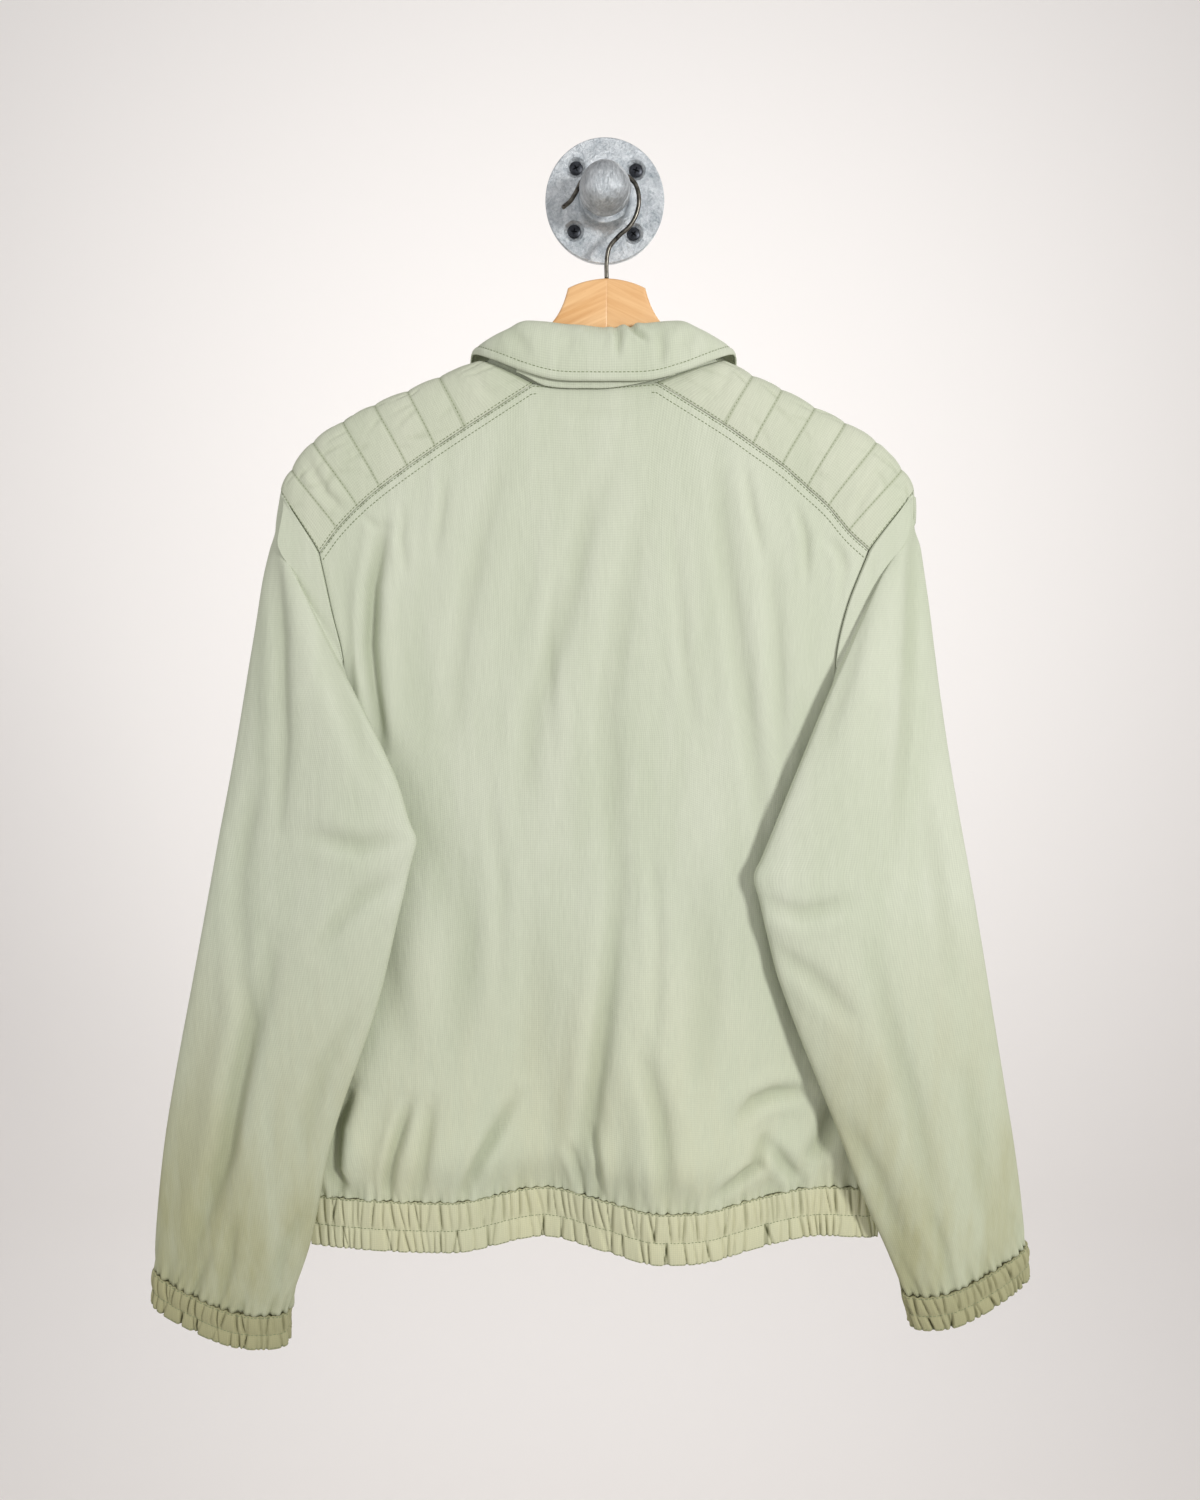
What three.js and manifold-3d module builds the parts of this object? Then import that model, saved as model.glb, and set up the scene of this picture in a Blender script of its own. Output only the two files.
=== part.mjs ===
// Harrington jacket on a flat wooden hanger, hung from a pipe stub on a wall flange.
// Millimetres, +Z up. The wall is the plane y = 0 and everything hangs in front of it, at y < 0.
// The jacket turns its back to the room and its zip to the wall. In the code a point is given by
// x, by t, its distance from the wall (t = -y), and by z.
import * as THREE from 'three';
import { mergeVertices } from 'three/addons/utils/BufferGeometryUtils.js';
import Module from 'manifold-3d';

const wasm = await Module();
wasm.setup();

// Cloth walls and the gaps between sewn pieces.
const clothWall = 1.2;
const quiltWall = 1.6;
const quiltPuff = 1.3;
const bandWall = 2.2;
const collarWall = 1.6;
const seamGap = 0.35;
const yokeGap = 0.6;
const layerGap = 3;
const sideHalfGap = 1.7;

// Heights that the pieces share.
const armpitZ = -465;
const waistSeamZ = -779;
const bandHeight = 43;
const ridgeT = 28;
const yokeTurns = 10;
const yokeArch = 0.9;

// Cross-section of the body: a superellipse's power, and the blouse of cloth above the waistband.
const sectionPower = 2.2;
const blouse = { out: 5, z: -745, spread: 22 };

// Body side seams, and how far the back and the front stand from the wall at mid-width.
const bodyRows = [
  { z: -100, back: 48, front: 10, seamT: 28, left: -246, right: 232 },
  { z: -200, back: 50, front: 9, seamT: 28, left: -246, right: 232 },
  { z: -300, back: 54, front: 9, seamT: 28, left: -246, right: 232 },
  { z: -465, back: 60, front: 9, seamT: 28, left: -246, right: 232 },
  { z: -600, back: 63, front: 10, seamT: 32, left: -247, right: 232 },
  { z: -720, back: 62, front: 12, seamT: 38, left: -248, right: 232 },
  { z: -779, back: 56, front: 15, seamT: 42, left: -243, right: 227 },
  { z: -822, back: 58, front: 15, seamT: 42, left: -246, right: 229 },
];

// The waistband swings in and out: how far it stands proud of the plain section, along x.
const waistWaves = [
  { x: -250, out: 0, drop: 4 },
  { x: -190, out: 6, drop: 3 },
  { x: -125, out: 9, drop: 1 },
  { x: -50, out: -11, drop: -3 },
  { x: 0, out: 6, drop: 0 },
  { x: 46, out: 20, drop: 4 },
  { x: 81, out: 18, drop: 4 },
  { x: 128, out: 1, drop: 1 },
  { x: 180, out: -10, drop: -3 },
  { x: 232, out: 0, drop: -2 },
];

// Stitched channels of the shoulder yokes, from the neck to the armhole: where each stitch line
// leaves the back seam and where it crosses the shoulder ridge.
const yokeRows = {
  left: [
    { seamX: -53, seamZ: -137, ridgeX: -92, ridgeZ: -118 },
    { seamX: -103, seamZ: -168, ridgeX: -123, ridgeZ: -130 },
    { seamX: -125, seamZ: -182, ridgeX: -147, ridgeZ: -140 },
    { seamX: -146, seamZ: -196, ridgeX: -172, ridgeZ: -150 },
    { seamX: -167, seamZ: -211, ridgeX: -196, ridgeZ: -162 },
    { seamX: -184, seamZ: -225, ridgeX: -219, ridgeZ: -177 },
    { seamX: -200, seamZ: -241, ridgeX: -236, ridgeZ: -197 },
    { seamX: -214, seamZ: -259, ridgeX: -245, ridgeZ: -212 },
  ],
  right: [
    { seamX: 38, seamZ: -136, ridgeX: 88, ridgeZ: -118 },
    { seamX: 88, seamZ: -166, ridgeX: 110, ridgeZ: -129 },
    { seamX: 109, seamZ: -180, ridgeX: 132, ridgeZ: -139 },
    { seamX: 131, seamZ: -195, ridgeX: 157, ridgeZ: -152 },
    { seamX: 150, seamZ: -211, ridgeX: 180, ridgeZ: -163 },
    { seamX: 166, seamZ: -225, ridgeX: 204, ridgeZ: -177 },
    { seamX: 182, seamZ: -243, ridgeX: 224, ridgeZ: -197 },
    { seamX: 198, seamZ: -257, ridgeX: 234, ridgeZ: -212 },
  ],
};

// Where each yoke's front seam meets the neck.
const frontCornerX = { left: -67, right: 64 };

// Armhole seams below the yokes, down to the armpit.
const armholeRows = {
  left: [
    { z: -259, x: -214 },
    { z: -301, x: -206 },
    { z: -345, x: -198 },
    { z: -395, x: -202 },
    { z: -435, x: -219 },
    { z: armpitZ, x: -246 },
  ],
  right: [
    { z: -257, x: 198 },
    { z: -301, x: 182 },
    { z: -345, x: 175 },
    { z: -395, x: 182 },
    { z: -435, x: 203 },
    { z: armpitZ, x: 232 },
  ],
};

// Sleeves: the outer edge, and the inner fold that starts at the shoulder, crosses the armhole and
// turns at the elbow. x is the edge's place, t its distance from the wall.
const outerRows = {
  left: [
    { z: -212, x: -247, t: 28 },
    { z: -242, x: -253, t: 31 },
    { z: -279, x: -261, t: 33 },
    { z: -426, x: -291, t: 38 },
    { z: -573, x: -325, t: 40 },
    { z: -711, x: -357, t: 40 },
    { z: -783, x: -370, t: 40 },
    { z: -852, x: -379, t: 40 },
    { z: -890, x: -382, t: 40 },
  ],
  right: [
    { z: -212, x: 236, t: 28 },
    { z: -253, x: 241, t: 31 },
    { z: -287, x: 246, t: 33 },
    { z: -418, x: 269, t: 38 },
    { z: -565, x: 301, t: 40 },
    { z: -694, x: 328, t: 40 },
    { z: -756, x: 341, t: 40 },
    { z: -828, x: 354, t: 40 },
    { z: -866, x: 357, t: 40 },
  ],
};
const innerRows = {
  left: [
    { z: -212, x: -243, t: 33 },
    { z: -249, x: -244, t: 41 },
    { z: -275, x: -231, t: 50 },
    { z: -345, x: -196, t: 62 },
    { z: -425, x: -158, t: 70 },
    { z: -468, x: -145, t: 72 },
    { z: -525, x: -151, t: 72 },
    { z: -609, x: -178, t: 68 },
    { z: -715, x: -216, t: 65 },
    { z: -816, x: -240, t: 62 },
    { z: -880, x: -261, t: 56 },
    { z: -910, x: -264, t: 54 },
  ],
  right: [
    { z: -212, x: 232, t: 33 },
    { z: -240, x: 229, t: 41 },
    { z: -278, x: 205, t: 52 },
    { z: -345, x: 175, t: 62 },
    { z: -422, x: 145, t: 68 },
    { z: -488, x: 122, t: 71 },
    { z: -524, x: 114, t: 72 },
    { z: -591, x: 137, t: 70 },
    { z: -714, x: 186, t: 66 },
    { z: -784, x: 214, t: 62 },
    { z: -838, x: 237, t: 58 },
    { z: -892, x: 255, t: 54 },
  ],
};

// Underarm seams: they hang just outside the body, then run into the inner fold.
const underarmRows = {
  left: [
    { z: armpitZ, x: -250, t: 31 },
    { z: -490, x: -252, t: 37 },
    { z: -600, x: -254, t: 42 },
    { z: -700, x: -253, t: 46 },
    { z: -770, x: -250, t: 54 },
    { z: -880, x: -264, t: 52 },
    { z: -910, x: -267, t: 50 },
  ],
  right: [
    { z: armpitZ, x: 236, t: 31 },
    { z: -490, x: 238, t: 37 },
    { z: -600, x: 240, t: 42 },
    { z: -700, x: 239, t: 46 },
    { z: -770, x: 236, t: 54 },
    { z: -864, x: 252, t: 52 },
    { z: -892, x: 258, t: 50 },
  ],
};

// Cuffs: heights of the seam and of the open end at mid-width, and how much lower the inner side is.
// A sleeve's rows lean towards its cuff from leanStartZ down.
const leanStartZ = -640;
const cuffs = {
  left: { seamZ: -866, endZ: -897, tilt: 28, sag: 7 },
  right: { seamZ: -846, endZ: -877, tilt: 36, sag: 7 },
};

// The collar, from centre back (s = 0) over the shoulder to centre front (s = 1): its fold line and
// the free edge of its fall. x is measured from collarX, the same on both sides.
const collarX = -1;
const collarRows = [
  { s: 0, foldX: 0, foldT: 38.5, foldZ: -96, edgeX: 0, edgeT: 58, edgeZ: -136 },
  { s: 0.15, foldX: 30, foldT: 38.5, foldZ: -93, edgeX: 34, edgeT: 57, edgeZ: -135 },
  { s: 0.28, foldX: 55, foldT: 37.5, foldZ: -91, edgeX: 60, edgeT: 54, edgeZ: -128 },
  { s: 0.36, foldX: 70, foldT: 33, foldZ: -97, edgeX: 82, edgeT: 45, edgeZ: -119 },
  { s: 0.42, foldX: 78, foldT: 27, foldZ: -104, edgeX: 97, edgeT: 28, edgeZ: -113.5 },
  { s: 0.5, foldX: 77, foldT: 15, foldZ: -113, edgeX: 101, edgeT: 8, edgeZ: -130 },
  { s: 0.6, foldX: 69, foldT: 7, foldZ: -130, edgeX: 98, edgeT: 4, edgeZ: -158 },
  { s: 0.82, foldX: 40, foldT: 6.5, foldZ: -163, edgeX: 78, edgeT: 3.6, edgeZ: -206 },
  { s: 1, foldX: 6, foldT: 6.5, foldZ: -184, edgeX: 50, edgeT: 3.6, edgeZ: -236 },
];
const collarSteps = 26;
const neckFrontZ = -190;
const underReach = 4.5;

// Zip down the centre front.
const zip = { x: -4, halfGap: 3.5, tapeWidth: 13, tapeWall: 0.9, topZ: -196, pullLength: 26, pullWidth: 6 };

// Hanger: two flat wooden halves and a wire hook.
const hanger = { x: 1.3, t: 27.9, wall: 10.5, round: 3.5, clear: 1.9, wireR: 1.6 };

// Wall fitting: a three-quarter-inch floor flange, its screws, a pipe stub and a cap.
const flange = { r: 44.45, plate: 5.5, hubR: 19.5, hubT: 18, boreR: 13.6, boreFloorT: 4 };
const screwHole = { circleR: 31.5, r: 3, sinkR: 6.5, sinkDepth: 3.2, turn: -2 };
const nipple = { r: 13.35, boreR: 10.4, startT: 4.4, endT: 44 };
const cap = { rimR: 18.6, domeR: 17.2, startT: 34.5, rimT: 40, endT: 59.5 };
const screw = { headR: 6, shankR: 2.6 };

// ---- Small tools -------------------------------------------------------------------------------

const at = (x, t, z) => new THREE.Vector3(x, -t, z);
const mix = (a, b, f) => a + (b - a) * f;
const clamp = (f, low = 0, high = 1) => Math.min(Math.max(f, low), high);
const ease = (f) => clamp(f) ** 2 * (3 - 2 * clamp(f));
const steps = (n) => Array.from({ length: n + 1 }, (_, i) => i / n);

// A column of a table at `where` along the table's key, joined smoothly and without overshoot.
function read(rows, key, where, column) {
  const up = rows[1][key] > rows[0][key] ? 1 : -1;
  let i = 0;
  while (i < rows.length - 2 && (where - rows[i + 1][key]) * up > 0) i += 1;
  const slope = (k) => {
    const before = rows[Math.max(k - 1, 0)];
    const after = rows[Math.min(k + 1, rows.length - 1)];
    const here = rows[k];
    const rise = (after[column] - here[column]) * (here[column] - before[column]);
    const whole = (after[column] - before[column]) / (after[key] - before[key]);
    return k > 0 && k < rows.length - 1 && rise <= 0 ? 0 : whole;
  };
  const span = rows[i + 1][key] - rows[i][key];
  const f = clamp((where - rows[i][key]) / span);
  const a = rows[i][column];
  const b = rows[i + 1][column];
  const bend = f * (1 - f);
  const swing = slope(i) * span * (1 - f) - slope(i + 1) * span * f;
  return mix(a, b, ease(f)) + bend * swing;
}

// A cloth wall: rows of points on its outer face, top row first, columns running so that the
// outside is towards the viewer who sees them go left to right. `puff` swells the outer face.
function clothSheet(points, wall, puff = () => 0) {
  const last = points.length - 1;
  const end = points[0].length - 1;
  const outer = [];
  const inner = [];
  points.forEach((row, i) => row.forEach((point, j) => {
    const down = points[Math.min(i + 1, last)][j].clone().sub(points[Math.max(i - 1, 0)][j]);
    const across = row[Math.min(j + 1, end)].clone().sub(row[Math.max(j - 1, 0)]);
    const normal = down.cross(across).normalize();
    outer.push(point.clone().addScaledVector(normal, puff(i / last, j / end)));
    inner.push(point.clone().addScaledVector(normal, -wall));
  }));
  const under = outer.length;
  const id = (i, j) => i * (end + 1) + j;
  const faces = [];
  const quad = (a, b, c, d) => faces.push(a, b, c, b, d, c);
  for (let i = 0; i < last; i += 1) {
    for (let j = 0; j < end; j += 1) {
      quad(id(i, j), id(i + 1, j), id(i, j + 1), id(i + 1, j + 1));
      quad(id(i, j) + under, id(i, j + 1) + under, id(i + 1, j) + under, id(i + 1, j + 1) + under);
    }
    quad(id(i + 1, 0), id(i, 0), id(i + 1, 0) + under, id(i, 0) + under);
    quad(id(i, end), id(i + 1, end), id(i, end) + under, id(i + 1, end) + under);
  }
  for (let j = 0; j < end; j += 1) {
    quad(id(0, j), id(0, j + 1), id(0, j) + under, id(0, j + 1) + under);
    quad(id(last, j + 1), id(last, j), id(last, j + 1) + under, id(last, j) + under);
  }
  const geometry = new THREE.BufferGeometry();
  const places = [...outer, ...inner].flatMap((point) => point.toArray());
  geometry.setAttribute('position', new THREE.Float32BufferAttribute(places, 3));
  geometry.setIndex(faces);
  return geometry;
}

// A patch inside four edges: top and bottom run across, the sides run down.
function patch(top, bottom, first, second, acrossSteps, downSteps, depth) {
  const [a, b, c, d] = [top(0), top(1), bottom(0), bottom(1)];
  return downSteps.map((v) => acrossSteps.map((u) => {
    const [t, o, l, r] = [top(u), bottom(u), first(v), second(v)];
    const [x, z] = [0, 1].map((k) => mix(t[k], o[k], v) + mix(l[k], r[k], u)
      - mix(mix(a[k], b[k], u), mix(c[k], d[k], u), v));
    return at(x, depth(x, z), z);
  }));
}

// Closer steps near both ends, where a section turns round its side.
const crowdEnds = (n, share) => steps(n).map((u) => mix(u, 0.5 - 0.5 * Math.cos(Math.PI * u), share));

// ---- The body's form ---------------------------------------------------------------------------

// How full the body's section is at x: 1 at mid-width, 0 at the side seams.
function sectionShare(x, z) {
  const left = read(bodyRows, 'z', z, 'left');
  const right = read(bodyRows, 'z', z, 'right');
  const spare = 70 * ease((z - armpitZ) / 130);
  const half = (right - left) / 2 + spare;
  const off = Math.min(Math.abs(x - (left + right) / 2) / half, 1);
  return (1 - off ** sectionPower) ** (1 / sectionPower);
}

function backT(x, z) {
  const seam = read(bodyRows, 'z', z, 'seamT') + sideHalfGap;
  const back = read(bodyRows, 'z', z, 'back');
  const wave = read(waistWaves, 'x', x, 'out') * ease((z + 540) / -230);
  const full = blouse.out * Math.exp(-(((z - blouse.z) / blouse.spread) ** 2));
  return seam + (back - seam + wave + full) * sectionShare(x, z);
}

function frontT(x, z) {
  const seam = read(bodyRows, 'z', z, 'seamT') - sideHalfGap;
  const front = read(bodyRows, 'z', z, 'front');
  return seam - (seam - front) * sectionShare(x, z);
}

const waistSeam = (x) => waistSeamZ - read(waistWaves, 'x', x, 'drop');

// A shoulder yoke's section at share u from the neck to the armhole and share v from the back
// seam (0) over the ridge (0.5) to the front seam (1).
function yokePoint(side, u, v) {
  const rows = yokeRows[side].map((row, i, all) => ({ ...row, u: i / (all.length - 1) }));
  const [seamX, seamZ, ridgeX, ridgeZ] = ['seamX', 'seamZ', 'ridgeX', 'ridgeZ']
    .map((column) => read(rows, 'u', u, column));
  const turn = Math.PI * v;
  const isFront = v > 0.5;
  const x = isFront ? seamX + (frontCornerX[side] - rows[0].seamX) * (1 - u) : seamX;
  const z = isFront ? seamZ - 12 * (1 - u) : seamZ;
  const seamT = isFront ? frontT(x, z) : backT(x, z);
  const rise = Math.sin(turn);
  const out = Math.abs(Math.cos(turn)) ** yokeArch;
  return [mix(x, ridgeX, rise), mix(ridgeT, seamT, out), mix(z, ridgeZ, rise ** yokeArch)];
}

function yokeFrontSeam(side, u) {
  const [x, , z] = yokePoint(side, u, 1);
  return [x, z];
}

function yoke(side) {
  const channels = yokeRows[side].length - 1;
  const across = steps(channels * 3);
  const down = steps(yokeTurns);
  const inset = 0.5 * seamGap;
  const points = down.map((v) => across.map((u) => {
    const [x, t, z] = yokePoint(side, u, v);
    return at(x, t, z + inset);
  }));
  const grid = points.reverse();
  const puff = (i, j) => {
    const channel = Math.abs(Math.sin(Math.PI * j * channels));
    return quiltPuff * channel * Math.sin(Math.PI * i) ** 0.5;
  };
  return clothSheet(side === 'right' ? grid : grid.map((row) => row.reverse()), quiltWall, puff);
}

// ---- Back, fronts and waistband ----------------------------------------------------------------

// Shares of the way down a panel's side: rows that the armhole shares with the sleeve, then the
// side seam below the armpit.
const armholeShares = [0, 0.2, 0.4, 0.58, 0.74, 0.87, 0.95, 1];
const armpitShare = 0.42;
const sideShares = [...armholeShares.map((f) => f * armpitShare), 0.5, 0.6, 0.7, 0.79, 0.87, 0.94, 1];

// One side edge of a panel, from the yoke's corner down the armhole and the side seam.
function sideEdge(side, v) {
  const holes = armholeRows[side];
  if (v <= armpitShare) {
    const z = mix(holes[0].z - yokeGap, armpitZ, v / armpitShare);
    return [read(holes, 'z', z, 'x'), z];
  }
  const endX = read(bodyRows, 'z', waistSeamZ, side);
  const z = mix(armpitZ, waistSeam(endX) + seamGap, (v - armpitShare) / (1 - armpitShare));
  return [read(bodyRows, 'z', z, side), z];
}

function backPanel() {
  const across = crowdEnds(20, 0.55);
  const [neckStart, neckEnd] = [across[8], across[12]];
  const top = (u) => {
    if (u <= neckStart) {
      const [x, , z] = yokePoint('left', 1 - u / neckStart, 0);
      return [x, z - yokeGap];
    }
    if (u >= neckEnd) {
      const [x, , z] = yokePoint('right', (u - neckEnd) / (1 - neckEnd), 0);
      return [x, z - yokeGap];
    }
    const [start, end] = [yokePoint('left', 0, 0), yokePoint('right', 0, 0)];
    const f = (u - neckStart) / (neckEnd - neckStart);
    return [mix(start[0], end[0], f), mix(start[2], end[2], f) - yokeGap - 2 * Math.sin(Math.PI * f)];
  };
  const [left, right] = [sideEdge('left', 1), sideEdge('right', 1)];
  const bottom = (u) => {
    const x = mix(left[0], right[0], u);
    return [x, waistSeam(x) + seamGap];
  };
  const first = (v) => sideEdge('left', v);
  const second = (v) => sideEdge('right', v);
  return clothSheet(patch(top, bottom, first, second, across, sideShares, backT), clothWall);
}

// A front runs from its side seam to the zip. Columns go from right to left as the room sees them,
// because its outside faces the wall.
function frontPanel(side) {
  const sign = side === 'left' ? -1 : 1;
  const edgeX = zip.x + sign * zip.halfGap;
  const neckShare = 0.62;
  const frontGap = 0.8;
  const sideAt = (v) => sideEdge(side, v);
  const top = (u) => {
    const [x, z] = yokeFrontSeam(side, 1 - Math.min(u / neckShare, 1));
    if (u <= neckShare) return [x, z - frontGap * Math.sin(Math.PI * u / neckShare) - yokeGap];
    const turn = (u - neckShare) / (1 - neckShare) * Math.PI / 2;
    return [mix(x, edgeX, 1 - Math.cos(turn)), mix(z, neckFrontZ, Math.sin(turn)) - yokeGap];
  };
  const corner = sideAt(1);
  const bottom = (u) => {
    const x = mix(corner[0], edgeX, u);
    return [x, corner[1]];
  };
  const inside = (v) => [edgeX, mix(neckFrontZ - yokeGap, bottom(1)[1], v)];
  const across = steps(9).map((u) => mix(u, 1 - Math.cos(u * Math.PI / 2), 0.3));
  const grid = patch(top, bottom, sideAt, inside, across, sideShares, frontT);
  return clothSheet(sign > 0 ? grid : grid.map((row) => row.reverse()), clothWall);
}

// A stretch of waistband between two places along x, on the back or the front of the body.
function waistband(startX, endX, count, isFront) {
  const sideX = startX + endX < 0 ? startX : endX;
  const rows = steps(3).map((v) => crowdEnds(count, isFront ? 0.2 : 0.5).map((u) => {
    const x = mix(startX, endX, u);
    const z = waistSeam(isFront ? sideX : x) - seamGap - v * bandHeight;
    return at(x, isFront ? frontT(x, z) : backT(x, z), z);
  }));
  return clothSheet(isFront ? rows.map((row) => row.reverse()) : rows, bandWall);
}

// ---- Sleeves and cuffs -------------------------------------------------------------------------

// Where a sleeve meets the body at height z, on the back or on the front.
function armholePoint(side, z, isFront) {
  const sign = side === 'left' ? -1 : 1;
  const corner = armholeRows[side][0];
  const edge = yokeRows[side].at(-1);
  const out = sign * seamGap;
  if (z > corner.z) {
    const rise = clamp((z - edge.seamZ) / (edge.ridgeZ - edge.seamZ)) ** (1 / yokeArch);
    const v = Math.asin(rise) / Math.PI;
    const [x, t] = yokePoint(side, 1, isFront ? 1 - v : v);
    return [x + 4 * out, t];
  }
  const x = read(armholeRows[side], 'z', z, 'x');
  return [x + out, isFront ? frontT(x, z) : backT(x, z) + seamGap];
}

// Sleeve sections: the most that the cloth stands out, how round its folds are, the share of the
// plan that hides behind the fold, and the extra room it leaves in front of the body at the armpit.
const sleeveForm = { thickest: 17, foldRound: 5, hiddenShare: 0.26, armpitGap: 5.5, armpitSpread: 30 };
const sleeveSpans = [2, 2, 1, 2, 3, 2, 1, 2, 2];
const sleeveShares = sleeveSpans
  .flatMap((count, span) => steps(count).slice(0, -1).map((f) => (span + f) / sleeveSpans.length))
  .concat(1);

// Heights along a sleeve's row: the outer edge, the inner fold, and how low the room side hangs.
function rowHeights(side, z) {
  const cuff = cuffs[side];
  const lean = ease((z - leanStartZ) / (cuff.seamZ - leanStartZ));
  return { outer: z + 0.5 * cuff.tilt * lean, inner: z - 0.5 * cuff.tilt * lean, sag: cuff.sag * lean };
}

// One row of a sleeve or cuff, from the back seam (or the underarm seam) round the inner fold, over
// the side that faces the room, round the outer edge and back along the side that faces the wall.
function sleeveRow(side, z) {
  const sign = side === 'left' ? -1 : 1;
  const heights = rowHeights(side, z);
  const inner = ['x', 't'].map((column) => read(innerRows[side], 'z', heights.inner, column));
  const outer = ['x', 't'].map((column) => read(outerRows[side], 'z', heights.outer, column));
  const open = z > armpitZ + 1;
  const underarm = ['x', 't'].map((column) => read(underarmRows[side], 'z', heights.inner, column));
  const start = open ? armholePoint(side, z, false) : underarm;
  const end = open ? armholePoint(side, z, true) : [underarm[0], underarm[1] - 1.4];
  const width = Math.abs(outer[0] - inner[0]);
  const thick = Math.min(0.16 * width + 2, sleeveForm.thickest);
  const roundness = Math.min(0.35 * thick, sleeveForm.foldRound);
  const along = (f) => [mix(inner[0], outer[0], f), mix(inner[1], outer[1], f)];
  const bulge = (f, out) => [along(f)[0], along(f)[1] + out];
  const openSide = mix(end[1], outer[1], 0.35) - 2;
  const closedSide = mix(end[1], outer[1], 0.5) - 0.6 * thick;
  const plan = [
    start,
    [mix(start[0], inner[0], 0.55), mix(start[1], inner[1] - roundness, 0.55)],
    [inner[0] + sign * 1.5, inner[1] - roundness],
    [inner[0] + sign * 1.5, inner[1] + 0.6 * roundness],
    bulge(0.3, 0.95 * thick),
    bulge(0.7, 0.8 * thick),
    [outer[0] - sign * 1, outer[1] + 0.7 * roundness],
    [outer[0] - sign * 1, outer[1] - 0.7 * roundness],
    [mix(outer[0], end[0], 0.5), open ? openSide : closedSide],
    end,
  ];
  const planPoints = plan.map(([x, t]) => new THREE.Vector3(x, t, 0));
  const curve = new THREE.CatmullRomCurve3(planPoints, false, 'centripetal');
  const nearArmpit = Math.exp(-(((z - armpitZ) / sleeveForm.armpitSpread) ** 2));
  const clear = layerGap + sleeveForm.armpitGap * nearArmpit;
  return sleeveShares.map((share) => {
    const { x, y } = curve.getPoint(share);
    const across = clamp((x - inner[0]) / (outer[0] - inner[0]));
    const towardsRoom = clamp((y - mix(inner[1], outer[1], across)) / thick);
    const place = mix(heights.inner, heights.outer, across) - heights.sag * towardsRoom;
    const hidden = share > 0 && share < sleeveForm.hiddenShare;
    const bodyT = hidden && sectionShare(x, place) > 0 ? backT(x, place) + clear : 0;
    return at(x, Math.max(y, bodyT), place);
  });
}

function outwards(side, rows, wall) {
  return clothSheet(side === 'left' ? rows.map((row) => row.reverse()) : rows, wall);
}

function sleeve(side) {
  const edge = yokeRows[side].at(-1);
  const crown = [4, 3, 2, 1]
    .map((k) => mix(edge.seamZ, edge.ridgeZ, Math.sin(Math.PI * k / yokeTurns) ** yokeArch));
  const hole = armholeShares.slice(0, -1).map((f) => mix(edge.seamZ, armpitZ, f));
  const tube = steps(10).map((f) => mix(armpitZ - 1.5, cuffs[side].seamZ + seamGap, f ** 1.15));
  const head = sleeveHead(side, crown[0]);
  const rows = [head, ...[...crown.slice(1), ...hole, ...tube].map((z) => sleeveRow(side, z))];
  return outwards(side, rows, clothWall);
}

// The first row of a sleeve lies along the yoke's edge, over the shoulder point.
function sleeveHead(side, z) {
  const sign = side === 'left' ? -1 : 1;
  const tip = yokeRows[side].at(-1);
  const [startX, startT] = armholePoint(side, z, false);
  const [endX, endT] = armholePoint(side, z, true);
  const tipX = tip.ridgeX + sign * 6 * seamGap;
  return steps(sleeveShares.length - 1).map((f) => {
    const rise = 1 - Math.abs(2 * f - 1);
    return at(mix(mix(startX, endX, f), tipX, rise), mix(startT, endT, f), mix(z, tip.ridgeZ, rise));
  });
}

function cuff(side) {
  const { seamZ, endZ } = cuffs[side];
  const rows = steps(2).map((v) => sleeveRow(side, mix(seamZ - seamGap, endZ, v)));
  return outwards(side, rows, bandWall);
}

// ---- Collar ------------------------------------------------------------------------------------

// The neck seam, from centre back (s = 0) along the back, over the yoke and down to centre front.
function neckSeam(side, s) {
  const backShare = 0.2;
  const ridgeShare = 0.42;
  const frontShare = 0.6;
  if (s < backShare) {
    const [leftX, , leftZ] = yokePoint('left', 0, 0);
    const [rightX, , rightZ] = yokePoint('right', 0, 0);
    const corner = side === 'left' ? leftX : rightX;
    const x = mix((leftX + rightX) / 2, corner, s / backShare);
    const z = (leftZ + rightZ) / 2 - 2 * (1 - s / backShare);
    return [x, backT(x, z), z];
  }
  if (s < frontShare) {
    const overBack = (s - backShare) / (ridgeShare - backShare);
    const overFront = (s - ridgeShare) / (frontShare - ridgeShare);
    return yokePoint(side, 0, s < ridgeShare ? 0.5 * overBack : 0.5 + 0.5 * overFront);
  }
  const [x, , z] = yokePoint(side, 0, 1);
  const sign = side === 'left' ? -1 : 1;
  const f = (s - frontShare) / (1 - frontShare) * Math.PI / 2;
  const end = zip.x + sign * zip.halfGap;
  const place = [mix(x, end, 1 - Math.cos(f)), mix(z, neckFrontZ, Math.sin(f))];
  return [place[0], frontT(...place), place[1]];
}

// A collar line at share s: a column name stem picks the fold or the edge.
function collarLine(side, s, stem) {
  const sign = side === 'left' ? -1 : 1;
  const [x, t, z] = ['X', 'T', 'Z'].map((axis) => read(collarRows, 's', s, stem + axis));
  return [collarX + sign * x, t, z];
}

// Places round the collar from the left front over the back to the right front.
const collarPlaces = (start, end, n) => steps(n).map((f) => mix(start, end, f))
  .map((s) => ({ side: s < 0 ? 'left' : 'right', s: Math.abs(s) }));

// A point of the neck moved inside it: sideways, and off the front or the back towards the middle.
function insideNeck([x, t, z], by, lift) {
  const level = clamp((ridgeT - t) / 8, -1, 1);
  const across = clamp((x - collarX) / 30, -1, 1);
  return [x - across * by * (1 - 0.5 * Math.abs(level)), t + level * by, z + lift];
}

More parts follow.
